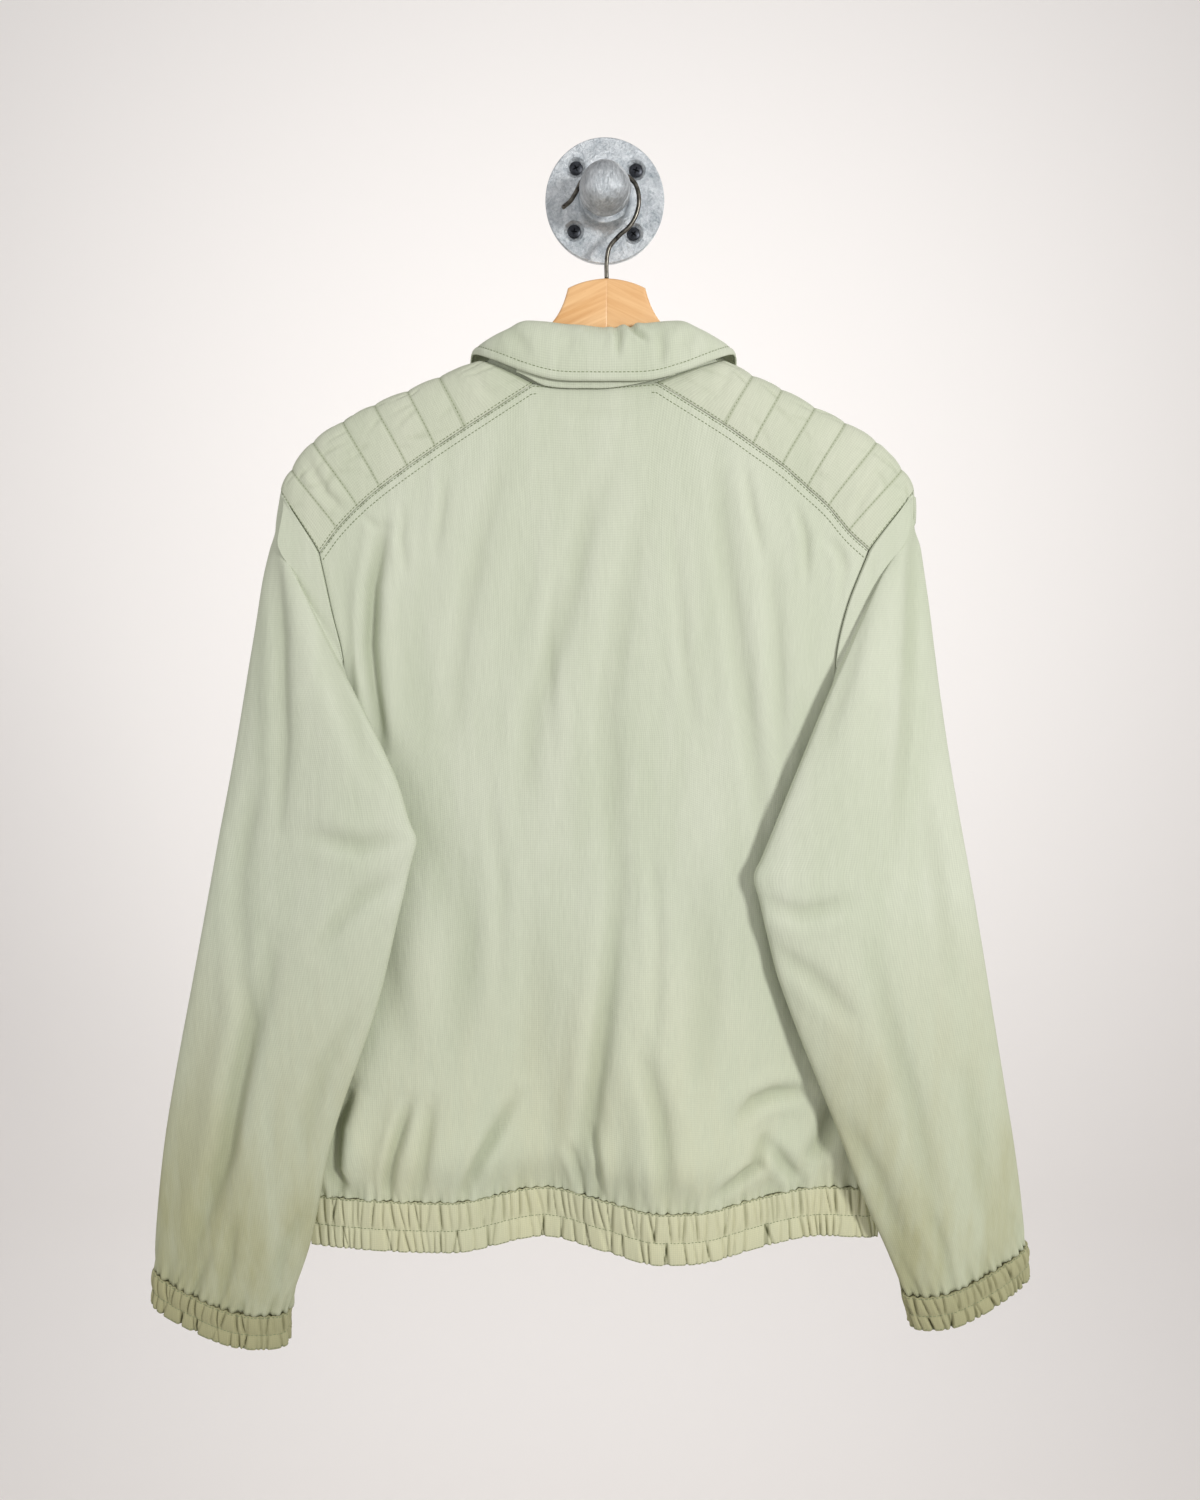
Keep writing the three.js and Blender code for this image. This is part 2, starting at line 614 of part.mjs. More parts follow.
function collarStand() {
  const rows = steps(3).map((v) => collarPlaces(-1, 1, collarSteps).map(({ side, s }) => {
    const top = insideNeck(collarLine(side, s, 'fold'), collarWall + 1.4, -collarWall - 1);
    const foot = insideNeck(neckSeam(side, s), collarWall + seamGap, 0.8);
    return at(...[0, 1, 2].map((k) => mix(top[k], foot[k], v)));
  }));
  return clothSheet(rows, clothWall);
}

function collarFall() {
  const rows = steps(5).map((v) => collarPlaces(-1, 1, collarSteps).map(({ side, s }) => {
    const fold = collarLine(side, s, 'fold');
    const edge = collarLine(side, s, 'edge');
    const out = Math.sin(v * Math.PI / 2);
    const down = Math.cos(v * Math.PI / 2) ** 0.8;
    return at(mix(fold[0], edge[0], out), mix(fold[1], edge[1], out), mix(edge[2], fold[2], down));
  }));
  return clothSheet(rows, collarWall);
}

// The layer under the fall: its edge shows as a crescent below the fall at the back.
function collarUnder() {
  const rows = steps(2).map((v) => collarPlaces(-0.27, 0.24, 14).map(({ side, s }) => {
    const edge = collarLine(side, s, 'edge');
    const seam = neckSeam(side, s);
    const reach = underReach * (side === 'left' ? 1 : 1 - ease(s / 0.2));
    const x = mix(seam[0], edge[0], 0.55);
    return at(x, mix(seam[1], edge[1], 0.42) + 0.4, mix(edge[2] + 9, edge[2] - reach, v));
  }));
  return clothSheet(rows, clothWall);
}

// ---- Zip ---------------------------------------------------------------------------------------

const zipT = (z) => frontT(zip.x, z) + bandWall + 3 * seamGap;

function zipTape(side) {
  const sign = side === 'left' ? -1 : 1;
  const endZ = waistSeamZ - bandHeight - 2;
  const rows = steps(10).map((v) => [1, 0].map((out) => {
    const x = zip.x + sign * (0.2 + out * zip.tapeWidth);
    const z = mix(zip.topZ, endZ, v);
    return at(x, zipT(z), z);
  }));
  return clothSheet(sign > 0 ? rows : rows.map((row) => row.reverse()), zip.tapeWall);
}

// Slider: a plate on the tapes, with two lugs and the pin that its pull tab hangs on.
const slider = { width: 6.2, height: 11, wall: 2.2, topZ: -198, lug: 1, lugGap: 3.4 };
const pin = { drop: 2.6, out: 4.2, r: 0.6, barrelR: 1.45 };
const sliderT = zipT(slider.topZ) - seamGap;
const pinT = sliderT - pin.out;
const pinZ = slider.topZ - pin.drop;

function zipSlider() {
  const plate = new THREE.BoxGeometry(slider.width, slider.wall, slider.height);
  plate.translate(zip.x, -(sliderT - slider.wall / 2), slider.topZ - slider.height / 2);
  const depth = pin.out - slider.wall + 1.6;
  const lugs = [-1, 1].map((sign) => {
    const lug = new THREE.BoxGeometry(slider.lug, depth, 3);
    const lugX = zip.x + sign * (slider.lugGap + slider.lug) / 2;
    lug.translate(lugX, -(sliderT - slider.wall + 0.4 - depth / 2), pinZ);
    return lug;
  });
  const rod = new THREE.CylinderGeometry(pin.r, pin.r, slider.lugGap + 1, 10);
  rod.rotateZ(Math.PI / 2).translate(zip.x, -pinT, pinZ);
  return joined([plate, ...lugs, rod]);
}

// The pull tab: a barrel on the pin, a short neck and a flat tab.
const pull = { wall: 1.3, neckLength: 5, neckWidth: 2.2 };

function zipPull() {
  const barrel = new THREE.CylinderGeometry(pin.barrelR, pin.barrelR, slider.lugGap - 0.8, 14);
  barrel.rotateZ(Math.PI / 2).translate(zip.x, -pinT, pinZ);
  const tabLength = zip.pullLength - pull.neckLength;
  const tab = new THREE.BoxGeometry(zip.pullWidth, pull.wall, tabLength);
  tab.translate(zip.x, -pinT, pinZ - pull.neckLength - tabLength / 2);
  const neck = new THREE.BoxGeometry(pull.neckWidth, pull.wall, pull.neckLength + 0.2);
  neck.translate(zip.x, -pinT, pinZ - 0.68 * pull.neckLength);
  const bore = new THREE.CylinderGeometry(pin.r + 0.3, pin.r + 0.3, 12, 12);
  bore.rotateZ(Math.PI / 2).translate(zip.x, -pinT, pinZ);
  return cut(joined([barrel, tab, neck]), [bore]);
}

// ---- Solids by boolean -------------------------------------------------------------------------

function solid(geometry) {
  const bare = geometry.clone();
  bare.deleteAttribute('normal');
  bare.deleteAttribute('uv');
  const whole = mergeVertices(bare, 1e-4);
  return new wasm.Manifold(new wasm.Mesh({
    numProp: 3,
    vertProperties: new Float32Array(whole.attributes.position.array),
    triVerts: new Uint32Array(whole.index.array),
  }));
}

function shape(manifold) {
  const mesh = manifold.getMesh();
  const geometry = new THREE.BufferGeometry();
  geometry.setAttribute('position', new THREE.Float32BufferAttribute(mesh.vertProperties, 3));
  geometry.setIndex(Array.from(mesh.triVerts));
  return geometry;
}

function joined(pieces) {
  return shape(pieces.map(solid).reduce((whole, piece) => whole.add(piece)));
}

function cut(piece, holes) {
  return shape(holes.map(solid).reduce((whole, hole) => whole.subtract(hole), solid(piece)));
}

// A body turned about the wall's normal, from a closed profile of [radius, t] that starts and ends
// on the axis or closes on itself, going round so that its faces point out.
function turned(profile, sides) {
  return new THREE.LatheGeometry(profile.map(([r, t]) => new THREE.Vector2(r, -t)).reverse(), sides);
}

// ---- Hanger and wall fitting -------------------------------------------------------------------

// One flat wooden half: a straight joint at the middle, a neck, a sloping arm and a rounded tip.
function hangerArm(side) {
  const sign = side === 'left' ? -1 : 1;
  const ridge = yokeRows[side].slice(1, 6)
    .map((row) => [sign * (row.ridgeX - hanger.x), row.ridgeZ - quiltWall - hanger.clear]);
  const [tipX, tipZ] = ridge.at(-1);
  const { round } = hanger;
  const outline = new THREE.Shape();
  outline.moveTo(0.2, -60);
  outline.quadraticCurveTo(16, -60.5, 28.5, -67);
  outline.bezierCurveTo(33, -84, 40, -96, 62, -106);
  outline.splineThru([[72, -113], [86, -123], ...ridge].map(([x, z]) => new THREE.Vector2(x, z)));
  outline.quadraticCurveTo(tipX + 8, tipZ - 6, tipX + 6, tipZ - 18);
  outline.quadraticCurveTo(tipX + 3, tipZ - 24, tipX - 6, tipZ - 21);
  outline.bezierCurveTo(140, -166, 60, -128, 0.2, -116);
  outline.closePath();
  const geometry = new THREE.ExtrudeGeometry(outline, {
    depth: hanger.wall - 2 * round,
    bevelThickness: round,
    bevelSize: round,
    bevelOffset: -round,
    bevelSegments: 1,
    curveSegments: 4,
  });
  geometry.translate(0, 0, -hanger.wall / 2 + round).rotateX(Math.PI / 2);
  if (sign < 0) geometry.rotateZ(Math.PI);
  geometry.translate(hanger.x, -hanger.t, 0);
  return geometry;
}

// A bent wire that goes up from the wood, over the pipe and ends in an open tip.
function hangerHook() {
  const topZ = nipple.r + hanger.wireR + seamGap;
  const route = [
    [0, -59.6], [0, -48], [2, -38], [9, -30], [17, -23], [22, -14], [23.5, -4], [20.5, 6], [12, 12.5],
    [0, topZ], [-11, 12.5], [-17.5, 5], [-21.5, -3], [-26, -8.5], [-32, -10],
  ];
  const curve = new THREE.CatmullRomCurve3(route.map(([x, z]) => at(x + hanger.x, hanger.t, z)));
  const section = new THREE.Shape();
  section.absarc(0, 0, hanger.wireR, 0, 2 * Math.PI);
  return new THREE.ExtrudeGeometry(section, { steps: 44, curveSegments: 4, extrudePath: curve });
}

function wallFlange() {
  const { r, plate, hubR, hubT, boreR, boreFloorT } = flange;
  const body = turned([
    [0, 0],
    [r, 0],
    [r, plate - 1],
    [r - 1, plate],
    [hubR + 4, plate + 1],
    [hubR, plate + 4],
    [hubR - 1, hubT],
    [boreR, hubT],
    [boreR, boreFloorT],
    [0, boreFloorT],
  ], 40);
  const sink = turned([
    [0, -1],
    [screwHole.r, -1],
    [screwHole.r, plate - screwHole.sinkDepth],
    [screwHole.sinkR, plate + 0.4],
    [screwHole.sinkR, plate + 5],
    [0, plate + 5],
  ], 14);
  return cut(body, screwPlaces().map(([x, z]) => sink.clone().translate(x, 0, z)));
}

function screwPlaces() {
  return [45, 135, 225, 315].map((degrees) => {
    const turn = THREE.MathUtils.degToRad(degrees + screwHole.turn);
    return [screwHole.circleR * Math.cos(turn), screwHole.circleR * Math.sin(turn)];
  });
}

function wallScrew([x, z]) {
  const top = flange.plate;
  const profile = [
    [0, 0.6],
    [screw.shankR, 0.6],
    [screw.shankR, top - 3],
    [screw.headR, top],
    [screw.headR * 0.6, top + 0.9],
    [0, top + 1.1],
  ];
  return turned(profile, 14).translate(x, 0, z);
}

function pipeNipple() {
  const { r, boreR, startT, endT } = nipple;
  return turned([[boreR, startT], [r, startT], [r, endT], [boreR, endT], [boreR, startT]], 32);
}

function pipeCap() {
  const { rimR, domeR, startT, rimT, endT } = cap;
  const bore = nipple.r + seamGap;
  const dome = steps(6).map((f) => {
    const turn = f * Math.PI / 2;
    return [domeR * Math.cos(turn) ** 0.7, mix(rimT + 4, endT, Math.sin(turn))];
  });
  dome[dome.length - 1][0] = 0;
  const inside = nipple.endT + seamGap;
  return turned([
    [0, inside],
    [bore, inside],
    [bore, startT],
    [rimR - 0.6, startT],
    [rimR, startT + 0.8],
    [rimR, rimT],
    [domeR, rimT + 0.8],
    ...dome,
  ], 28);
}

// ---- The object --------------------------------------------------------------------------------

function finish(color, roughness, metalness = 0) {
  return new THREE.MeshStandardMaterial({ color, roughness, metalness });
}

const sageCloth = finish(0xc8cdb6, 0.9);
const yokeCloth = finish(0xc4c8b1, 0.9);
const bandCloth = finish(0xb6ba9c, 0.92);
const zipTapeCloth = finish(0xa9ad92, 0.9);
const zipMetal = finish(0xb9b6a8, 0.35, 1);
const beech = finish(0xe6bf85, 0.55);
const steelWire = finish(0x8f9192, 0.3, 1);
const zincCoat = finish(0xa7acb0, 0.45, 1);
const blackScrew = finish(0x2c2e31, 0.4, 0.8);

const jacket = new THREE.Group();

function add(name, geometry, material) {
  const mesh = new THREE.Mesh(geometry, material);
  mesh.name = name;
  jacket.add(mesh);
}

const bodyEnd = (side) => read(bodyRows, 'z', waistSeamZ, side);
const zipEdge = (sign) => zip.x + sign * zip.halfGap;

add('back_panel', backPanel(), sageCloth);
add('waistband_back', waistband(bodyEnd('left'), bodyEnd('right'), 26, false), bandCloth);
for (const side of ['left', 'right']) {
  add(`front_${side}`, frontPanel(side), sageCloth);
  add(`yoke_${side}`, yoke(side), yokeCloth);
  add(`sleeve_${side}`, sleeve(side), sageCloth);
  add(`cuff_${side}`, cuff(side), bandCloth);
  add(`zip_tape_${side}`, zipTape(side), zipTapeCloth);
  add(`hanger_arm_${side}`, hangerArm(side), beech);
}
add('waistband_front_left', waistband(bodyEnd('left'), zipEdge(-1), 10, true), bandCloth);
add('waistband_front_right', waistband(zipEdge(1), bodyEnd('right'), 10, true), bandCloth);
add('collar_stand', collarStand(), sageCloth);
add('collar_fall', collarFall(), sageCloth);
add('collar_under', collarUnder(), sageCloth);
add('zip_slider', zipSlider(), zipMetal);
add('zip_pull', zipPull(), zipMetal);
add('hanger_hook', hangerHook(), steelWire);
add('wall_flange', wallFlange(), zincCoat);
add('pipe_nipple', pipeNipple(), zincCoat);
add('pipe_cap', pipeCap(), zincCoat);
screwPlaces().forEach((place, i) => add(`screw_${i + 1}`, wallScrew(place), blackScrew));

export default jacket;
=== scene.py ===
import math
import bmesh
import bpy
import numpy as np
from mathutils import Matrix, Vector

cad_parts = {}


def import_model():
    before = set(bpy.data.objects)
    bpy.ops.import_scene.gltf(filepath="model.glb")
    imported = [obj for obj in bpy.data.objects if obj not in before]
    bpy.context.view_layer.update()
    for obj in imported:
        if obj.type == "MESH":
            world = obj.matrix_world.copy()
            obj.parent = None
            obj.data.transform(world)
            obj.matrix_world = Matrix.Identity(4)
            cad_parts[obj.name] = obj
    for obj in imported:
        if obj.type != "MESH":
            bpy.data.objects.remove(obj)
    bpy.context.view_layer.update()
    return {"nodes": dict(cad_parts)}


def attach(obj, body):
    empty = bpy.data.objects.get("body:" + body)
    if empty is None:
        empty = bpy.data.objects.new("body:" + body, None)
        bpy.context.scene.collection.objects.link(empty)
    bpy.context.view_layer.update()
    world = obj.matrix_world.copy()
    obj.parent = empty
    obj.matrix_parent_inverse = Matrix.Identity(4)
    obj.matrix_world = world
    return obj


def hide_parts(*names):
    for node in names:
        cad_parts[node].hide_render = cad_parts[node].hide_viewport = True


# Harrington jacket on a wooden hanger, hung from a pipe stub on a wall flange.
# Lengths in the tables are millimetres; t is the distance from the wall, so a point is (x, -t, z).
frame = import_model()
print("frame loaded", len(frame["nodes"]), "nodes")

scene = bpy.context.scene
nodes = frame["nodes"]
millimetre = 0.001
signs = {"left": -1, "right": 1}


# The camera faces the wall from the room, a little above the middle, tilted down.
camera = {"x": -0.0036, "y": -0.9586, "z": -0.2481, "tilt": 80, "lens": 28.8, "sensor": 36}

cameraData = bpy.data.cameras.new("camera")
cameraData.lens = camera["lens"]
cameraData.sensor_width = camera["sensor"]
cameraObject = bpy.data.objects.new("camera", cameraData)
cameraObject.location = (camera["x"], camera["y"], camera["z"])
cameraObject.rotation_euler = (math.radians(camera["tilt"]), 0, 0)
scene.collection.objects.link(cameraObject)
scene.camera = cameraObject


def mix(a, b, f):
    return a + (b - a) * f


def ease(f):
    f = np.clip(f, 0, 1)
    return f * f * (3 - 2 * f)


def bell(distance, width):
    return np.exp(-((distance / width) ** 2))


# A column of a table at `where` along the table's key, joined smoothly and without overshoot.
def read(rows, key, where, column):
    keys = np.array([row[key] for row in rows], float)
    values = np.array([row[column] for row in rows], float)
    if keys[1] < keys[0]:
        keys, values, where = -keys, values, -np.asarray(where, float)
    where = np.clip(np.asarray(where, float), keys[0], keys[-1])
    before = np.concatenate(([values[0]], values[:-1]))
    after = np.concatenate((values[1:], [values[-1]]))
    keyBefore = np.concatenate(([keys[0]], keys[:-1]))
    keyAfter = np.concatenate((keys[1:], [keys[-1]]))
    slopes = (after - before) / (keyAfter - keyBefore)
    turning = (after - values) * (values - before) <= 0
    turning[0] = turning[-1] = False
    slopes[turning] = 0
    i = np.clip(np.searchsorted(keys, where, side="right") - 1, 0, len(keys) - 2)
    span = keys[i + 1] - keys[i]
    f = (where - keys[i]) / span
    swing = slopes[i] * span * (1 - f) - slopes[i + 1] * span * f
    return mix(values[i], values[i + 1], ease(f)) + f * (1 - f) * swing


def gridNormals(points):
    down = np.gradient(points, axis=0)
    across = np.gradient(points, axis=1)
    normals = np.cross(down, across)
    return normals / np.maximum(np.linalg.norm(normals, axis=2, keepdims=True), 1e-9)


def stepLengths(points, axis):
    return np.linalg.norm(np.diff(points, axis=axis), axis=2)


def table(columns, *lines):
    return [dict(zip(columns.split(), line)) for line in lines]


creaseForm = {
    "taper": 0.6, "swell": 0.45, "lean": 0.25,
    "nearRidge": (1.7, 1.1), "farRidge": (1.9, 1.2), "farShare": 0.7,  # ridges: where and how wide
}


# Height of soft creases at places on the cloth. Each crease is listed as its depth, its half width
# and the (a, b) points of its path, in millimetres. Beside a trough the cloth swells a little.
def creases(a, b, listed):
    height = np.zeros(np.shape(a))
    for depth, wide, *path in listed:
        path = np.array(path, float)
        lengths = np.concatenate(([0], np.cumsum(np.linalg.norm(np.diff(path, axis=0), axis=1))))
        nearest = np.full(np.shape(a), 1e9)
        along = np.zeros(np.shape(a))
        side = np.zeros(np.shape(a))
        for k in range(len(path) - 1):
            step = path[k + 1] - path[k]
            size = np.hypot(*step)
            f = np.clip(((a - path[k][0]) * step[0] + (b - path[k][1]) * step[1]) / size**2, 0, 1)
            da, db = a - path[k][0] - f * step[0], b - path[k][1] - f * step[1]
            distance = np.hypot(da, db)
            closer = distance < nearest
            nearest = np.where(closer, distance, nearest)
            along = np.where(closer, (lengths[k] + f * size) / lengths[-1], along)
            side = np.where(closer, np.sign(da * step[1] - db * step[0]), side)
        offset = nearest * side
        fade = np.clip(np.sin(np.pi * np.clip(along, 0.02, 0.98)), 0, 1) ** creaseForm["taper"]
        trough = bell(offset, wide * (1 + creaseForm["lean"] * np.tanh(offset / wide)))
        (nearAt, nearWide), (farAt, farWide) = creaseForm["nearRidge"], creaseForm["farRidge"]
        near, far = bell(offset - nearAt * wide, nearWide * wide), bell(offset + farAt * wide, farWide * wide)
        height += depth * fade * (creaseForm["swell"] * (near + creaseForm["farShare"] * far) - trough)
    return height


# The jacket's form, as short tables and the surfaces they give.
form = {
    "armpitZ": -465, "waistSeamZ": -779, "bandHeight": 43, "ridgeT": 28, "yokeArch": 0.9,
    "sectionPower": 2.2, "sideHalfGap": 1.7, "neckFrontZ": -190,
    "blouseOut": 5, "blouseZ": -745, "blouseSpread": 22, "frontGap": 0.8,
    "shoulderExtra": 70, "shoulderRise": 130,  # above the armpits the section stays full
    "waveStartZ": -540, "waveReach": -230, "frontDrop": 12, "armpitShare": 0.42,
}
walls = {"cloth": 1.2, "quilt": 1.6, "band": 2.2, "collar": 1.6, "tape": 0.9}

bodyRows = table(
    "z back front seamT left right",
    (-100, 48, 10, 28, -246, 232), (-200, 50, 9, 28, -246, 232), (-300, 54, 9, 28, -246, 232),
    (-465, 60, 9, 28, -246, 232), (-600, 63, 10, 32, -247, 232), (-720, 62, 12, 38, -248, 232),
    (-779, 56, 15, 42, -243, 227), (-822, 58, 15, 42, -246, 229),
)
waistWaves = table(
    "x out drop",
    (-250, 0, 4), (-190, 6, 3), (-125, 9, 1), (-50, -11, -3), (0, 6, 0),
    (46, 20, 4), (81, 18, 4), (128, 1, 1), (180, -10, -3), (232, 0, -2),
)
yokeRows = {
    "left": table(
        "seamX seamZ ridgeX ridgeZ",
        (-53, -137, -92, -118), (-103, -168, -123, -130), (-125, -182, -147, -140),
        (-146, -196, -172, -150), (-167, -211, -196, -162), (-184, -225, -219, -177),
        (-200, -241, -236, -197), (-214, -259, -245, -212),
    ),
    "right": table(
        "seamX seamZ ridgeX ridgeZ",
        (38, -136, 88, -118), (88, -166, 110, -129), (109, -180, 132, -139),
        (131, -195, 157, -152), (150, -211, 180, -163), (166, -225, 204, -177),
        (182, -243, 224, -197), (198, -257, 234, -212),
    ),
}
for rows in yokeRows.values():
    for i, row in enumerate(rows):
        row["u"] = i / (len(rows) - 1)
frontCornerX = {"left": -67, "right": 64}
armholeRows = {
    "left": table("z x", (-259, -214), (-301, -206), (-345, -198), (-395, -202), (-435, -219), (-465, -246)),
    "right": table("z x", (-257, 198), (-301, 182), (-345, 175), (-395, 182), (-435, 203), (-465, 232)),
}
outerRows = {
    "left": table(
        "z x t",
        (-212, -247, 28), (-242, -253, 31), (-279, -261, 33), (-426, -291, 38), (-573, -325, 40),
        (-711, -357, 40), (-783, -370, 40), (-852, -379, 40), (-890, -382, 40),
    ),
    "right": table(
        "z x t",
        (-212, 236, 28), (-253, 241, 31), (-287, 246, 33), (-418, 269, 38), (-565, 301, 40),
        (-694, 328, 40), (-756, 341, 40), (-828, 354, 40), (-866, 357, 40),
    ),
}
innerRows = {
    "left": table(
        "z x t",
        (-212, -243, 33), (-249, -244, 41), (-275, -231, 50), (-345, -196, 62), (-425, -158, 70),
        (-460, -148, 72), (-474, -143, 72), (-490, -147, 72), (-525, -156, 72),
        (-609, -178, 68), (-715, -216, 65), (-816, -240, 62), (-880, -261, 56), (-910, -264, 54),
    ),
    "right": table(
        "z x t",
        (-212, 232, 33), (-240, 229, 41), (-278, 205, 52), (-345, 175, 62), (-422, 145, 68),
        (-488, 120, 71), (-503, 114, 72), (-520, 118, 72), (-591, 137, 70), (-714, 186, 66), (-784, 214, 62),
        (-838, 237, 58), (-892, 255, 54),
    ),
}
underarmRows = {
    "left": table(
        "z x t",
        (-465, -250, 31), (-490, -252, 37), (-600, -254, 42), (-700, -253, 46), (-770, -250, 54),
        (-880, -264, 52), (-910, -267, 50),
    ),
    "right": table(
        "z x t",
        (-465, 236, 31), (-490, 238, 37), (-600, 240, 42), (-700, 239, 46), (-770, 236, 54),
        (-864, 252, 52), (-892, 258, 50),
    ),
}
cuffs = {
    "left": {"seamZ": -866, "endZ": -897, "tilt": 28, "sag": 7},
    "right": {"seamZ": -846, "endZ": -877, "tilt": 36, "sag": 7},
}
leanStartZ = -640
collarX = -1
collarRows = table(
    "s foldX foldT foldZ edgeX edgeT edgeZ",
    (0, 0, 38.5, -96, 0, 58, -136), (0.15, 30, 38.5, -93, 34, 57, -135),
    (0.28, 55, 37.5, -91, 60, 54, -128), (0.36, 70, 33, -97, 82, 45, -119),
    (0.42, 78, 27, -104, 97, 28, -113.5), (0.5, 77, 15, -113, 101, 8, -130),
    (0.6, 69, 7, -130, 98, 4, -158), (0.82, 40, 6.5, -163, 78, 3.6, -206),
    (1, 6, 6.5, -184, 50, 3.6, -236),
)
zipper = {"x": -4, "halfGap": 3.5, "tapeWidth": 13, "topZ": -196, "endZ": -824}


def sectionShare(x, z):
    left, right = read(bodyRows, "z", z, "left"), read(bodyRows, "z", z, "right")
    half = (right - left) / 2 + form["shoulderExtra"] * ease((z - form["armpitZ"]) / form["shoulderRise"])
    off = np.minimum(np.abs(x - (left + right) / 2) / half, 1)
    return (1 - off ** form["sectionPower"]) ** (1 / form["sectionPower"])


def backT(x, z):
    seam = read(bodyRows, "z", z, "seamT") + form["sideHalfGap"]
    wave = read(waistWaves, "x", x, "out") * ease((z - form["waveStartZ"]) / form["waveReach"])
    full = form["blouseOut"] * bell(z - form["blouseZ"], form["blouseSpread"])
    return seam + (read(bodyRows, "z", z, "back") - seam + wave + full) * sectionShare(x, z)


def frontT(x, z):
    seam = read(bodyRows, "z", z, "seamT") - form["sideHalfGap"]
    return seam - (seam - read(bodyRows, "z", z, "front")) * sectionShare(x, z)


def waistSeam(x):
    return form["waistSeamZ"] - read(waistWaves, "x", x, "drop")


# A yoke's section at share u from neck to armhole and v from the back seam over the ridge (0.5)
# to the front seam (1). Gives x, t and z.
def yokePoint(side, u, v):
    rows = yokeRows[side]
    u, v = np.broadcast_arrays(np.asarray(u, float), np.asarray(v, float))
    seamX, seamZ = read(rows, "u", u, "seamX"), read(rows, "u", u, "seamZ")
    ridgeX, ridgeZ = read(rows, "u", u, "ridgeX"), read(rows, "u", u, "ridgeZ")
    isFront = v > 0.5
    x = np.where(isFront, seamX + (frontCornerX[side] - rows[0]["seamX"]) * (1 - u), seamX)
    z = np.where(isFront, seamZ - form["frontDrop"] * (1 - u), seamZ)
    seamT = np.where(isFront, frontT(x, z), backT(x, z))
    rise = np.sin(np.pi * v)
    out = np.abs(np.cos(np.pi * v)) ** form["yokeArch"]
    return mix(x, ridgeX, rise), mix(form["ridgeT"], seamT, out), mix(z, ridgeZ, rise ** form["yokeArch"])


# One side edge of a panel: the armhole down to the armpit, then the side seam. Gives x and z.
def sideEdge(side, v):
    holes, armpitShare = armholeRows[side], form["armpitShare"]
    v = np.asarray(v, float)
    upperZ = mix(holes[0]["z"], form["armpitZ"], v / armpitShare)
    endX = read(bodyRows, "z", form["waistSeamZ"], side)
    lowest = waistSeam(endX)
    lowerZ = mix(form["armpitZ"], lowest, (v - armpitShare) / (1 - armpitShare))
    isHole = v <= armpitShare
    x = np.where(isHole, read(holes, "z", upperZ, "x"), read(bodyRows, "z", lowerZ, side))
    return x, np.where(isHole, upperZ, lowerZ)


# Inside four edges, each a function that gives x and z: the top and the bottom run across.
def patch(top, bottom, first, second, across, down, depth):
    u, v = np.meshgrid(across, down)
    t, o, l, r = top(u), bottom(u), first(v), second(v)
    a, b, c, d = top(np.array(0.0)), top(np.array(1.0)), bottom(np.array(0.0)), bottom(np.array(1.0))
    x, z = (
        mix(t[k], o[k], v) + mix(l[k], r[k], u) - mix(mix(a[k], b[k], u), mix(c[k], d[k], u), v)
        for k in (0, 1)
    )
    return x, depth(x, z), z


def armholePoint(side, z, isFront):
    edge = yokeRows[side][-1]
    if z > armholeRows[side][0]["z"]:
        rise = min(max((z - edge["seamZ"]) / (edge["ridgeZ"] - edge["seamZ"]), 0), 1)
        rise = rise ** (1 / form["yokeArch"])
        v = math.asin(rise) / math.pi
        x, t, _ = yokePoint(side, 1.0, 1 - v if isFront else v)
        return [float(x), float(t)]
    x = float(read(armholeRows[side], "z", z, "x"))
    t = float(frontT(x, z)) if isFront else float(backT(x, z))
    return [x, t]


# Centripetal Catmull-Rom through plan points, read at shares of its spans.
def splineThrough(points, shares):
    points = np.array(points, float)
    ghost = np.vstack((2 * points[0] - points[1], points, 2 * points[-1] - points[-2]))
    spans = len(points) - 1
    place = np.clip(shares, 0, 1) * spans
    k = np.minimum(place.astype(int), spans - 1)
    f = (place - k)[:, None]
    p = [ghost[k + i] for i in range(4)]
    gaps = [np.maximum(np.linalg.norm(p[i + 1] - p[i], axis=1), 1e-4)[:, None] ** 0.5 for i in range(3)]
    slopes = [(p[i + 1] - p[i]) / gaps[i] for i in range(3)]
    slopeA = (slopes[0] - (p[2] - p[0]) / (gaps[0] + gaps[1]) + slopes[1]) * gaps[1]
    slopeB = (slopes[1] - (p[3] - p[1]) / (gaps[1] + gaps[2]) + slopes[2]) * gaps[1]
    curveA = 2 * (p[1] - p[2]) + slopeA + slopeB
    curveB = 3 * (p[2] - p[1]) - 2 * slopeA - slopeB
    return ((curveA * f + curveB) * f + slopeA) * f + p[1]


# A sleeve's or cuff's row at height z: from the back seam round the inner fold, over the room side,
# round the outer edge and back along the wall side.
sleeveForm = {
    "thickShare": 0.16, "thinnest": 2, "thickest": 17, "bendShare": 0.35, "foldRound": 5, "slit": 1.4,
    "hiddenShare": 0.26, "armpitGap": 5.5, "armpitSpread": 30, "clear": 3,
}


